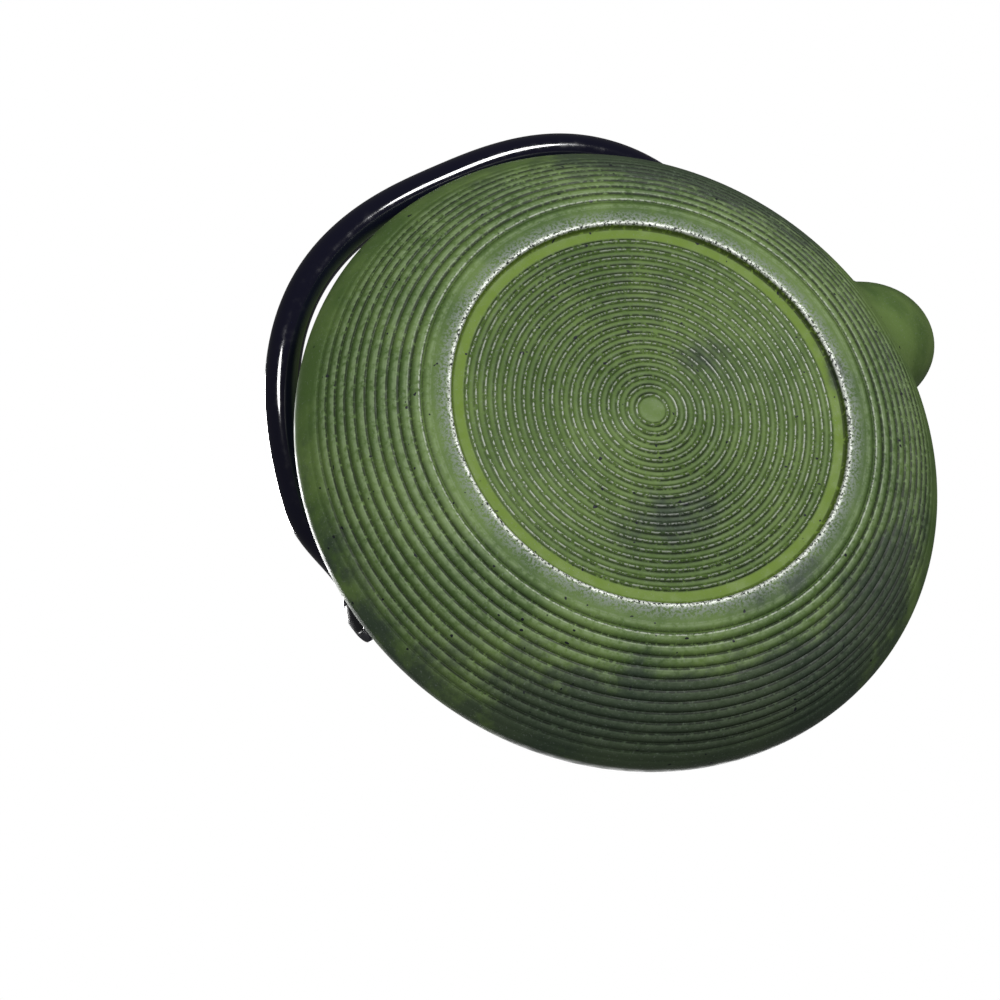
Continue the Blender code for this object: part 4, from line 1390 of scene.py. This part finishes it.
def make_star():
    mesh = bpy.data.meshes.new("star_washer")
    shape = bmesh.new()
    dome_radii = np.linspace(RIVET_HOLE, STAR_HUB, 12)
    radii = [*dome_radii, *np.linspace(STAR_HUB + 0.15 * MM, STAR_RADIUS, 6)]
    columns = TEETH * COLUMNS_PER_TOOTH
    grid = [
        [
            shape.verts.new(AXIS + Vector((r * math.cos(t), r * math.sin(t), star_height(r))))
            for t in circle(columns)
        ]
        for r in radii
    ]
    for row, (inner, outer) in enumerate(zip(grid, grid[1:])):
        on_hub = row + 1 < len(dome_radii)
        for column in range(columns):
            in_tooth = column % COLUMNS_PER_TOOTH in (5, 6)
            if not on_hub and not in_tooth:
                continue
            after = (column + 1) % columns
            shape.faces.new((inner[column], outer[column], outer[after], inner[after]))
    bmesh.ops.delete(shape, geom=[v for v in shape.verts if not v.link_faces], context="VERTS")
    shape.to_mesh(mesh)
    shape.free()
    star = bpy.data.objects.new("star_washer", mesh)
    bpy.context.scene.collection.objects.link(star)
    thick = star.modifiers.new("sheet", "SOLIDIFY")
    thick.thickness = STAR_SHEET
    thick.offset = -1.0
    soft = star.modifiers.new("soft edges", "BEVEL")
    soft.width = 0.1 * MM
    soft.segments = 2
    soft.limit_method = "ANGLE"
    bake_modifiers(star)
    return star


finish_piece(make_star(), "knob_star_washer", "lid", bright_steel)

# %% Rivet and its washer
rivet_low, rivet_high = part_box("knob_rivet")
washer_low, washer_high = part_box("rivet_washer")
RIVET_RADIUS = 0.9 * MM
RIVET_HEAD = 1.4 * MM
RIVET_TAIL = 1.8 * MM
RIVET_DOME = 1.0 * MM


def make_rivet():
    dome = [math.pi / 2 * step / 8 for step in range(9)]
    head = [(RIVET_HEAD * math.sin(a), rivet_high.z - RIVET_DOME * (1 - math.cos(a))) for a in dome]
    tail = [(RIVET_TAIL * math.sin(a), rivet_low.z + RIVET_DOME * (1 - math.cos(a))) for a in dome[::-1]]
    shank = [(RIVET_RADIUS, rivet_high.z - RIVET_DOME), (RIVET_RADIUS, rivet_low.z + RIVET_DOME)]
    rivet = turned("black_rivet", head + shank + tail, columns=48, closed=False)
    finish_piece(rivet, "knob_rivet", "lid_rivet", black_iron)


def make_rivet_washer():
    outer = (washer_high.x - washer_low.x) / 2
    low, high = washer_low.z, washer_high.z
    middle = ((RIVET_HOLE + outer) / 2, high)
    corners = [(outer, high), (outer, low), (RIVET_HOLE, low), (RIVET_HOLE, high)]
    profile = rounded([middle, *corners, middle], 0.2 * MM)[:-1]
    washer = turned("plain_washer", profile, columns=64)
    finish_piece(washer, "rivet_washer", "lid_rivet", bright_steel)


make_rivet()
make_rivet_washer()

# %% [markdown]
# ## The infuser basket
# The basket hangs in the mouth by a rolled rim. Its wall is a cage of fine wires, so that water passes,
# and its bottom is a shallow pressed cup. The wall is a plain grid turned into wires by a modifier.

# %% Infuser
rim_low, rim_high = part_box("infuser_rim")
wall_low, wall_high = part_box("infuser_wall")
cup_low, cup_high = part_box("infuser_base")
WALL_RADIUS = 32.9 * MM
SLEEVE_OUTER = 34.2 * MM
SLEEVE_INNER = 33.6 * MM
SLEEVE_DEPTH = 6 * MM
RIM_SHEET = 1.0 * MM
WIRE = 0.45 * MM
CUP_SHEET = 0.8 * MM
CUP_RISE = 0.6 * MM
CUP_STEP = (24 * MM, 27 * MM)


def make_infuser_rim():
    top = rim_high.z
    bottom = top - RIM_SHEET
    outer = (rim_high.x - rim_low.x) / 2
    inner = WALL_RADIUS - 0.7 * MM
    start = ((inner + outer) / 2, top)
    profile = rounded(
        [
            start,
            (outer, top),
            (outer, bottom),
            (SLEEVE_OUTER, bottom),
            (SLEEVE_OUTER, bottom - SLEEVE_DEPTH),
            (SLEEVE_INNER, bottom - SLEEVE_DEPTH),
            (SLEEVE_INNER, bottom),
            (inner, bottom),
            (inner, top),
            start,
        ],
        0.4 * MM,
        2,
    )[:-1]
    rim = turned("rolled_rim", profile, columns=120)
    finish_piece(rim, "infuser_rim", "infuser", basket_steel)


def make_infuser_wall():
    heights = np.linspace(wall_low.z + 0.25 * MM, wall_high.z - 0.25 * MM, 23)
    out = AXIS.x + WALL_RADIUS * np.cos(circle(120))
    across = AXIS.y + WALL_RADIUS * np.sin(circle(120))
    wall = grid_object("wire_wall", [[*zip(out, across, [height] * 120)] for height in heights])
    wires = wall.modifiers.new("wires", "WIREFRAME")
    wires.thickness = WIRE
    wires.use_even_offset = False
    bake_modifiers(wall)
    finish_piece(wall, "infuser_wall", "infuser", basket_steel)


def make_infuser_cup():
    flat, step = CUP_STEP
    low = cup_low.z
    profile = rounded(
        [
            (0.0, low + CUP_SHEET + CUP_RISE),
            (flat, low + CUP_SHEET + CUP_RISE),
            (step, low + CUP_SHEET),
            (SLEEVE_INNER, low + CUP_SHEET),
            (SLEEVE_INNER, cup_high.z),
            (SLEEVE_OUTER, cup_high.z),
            (SLEEVE_OUTER, low),
            (step, low),
            (flat, low + CUP_RISE),
            (0.0, low + CUP_RISE),
        ],
        0.35 * MM,
        2,
    )
    cup = turned("pressed_cup", profile, columns=120, closed=False)
    finish_piece(cup, "infuser_base", "infuser", basket_steel)


make_infuser_rim()
make_infuser_wall()
make_infuser_cup()
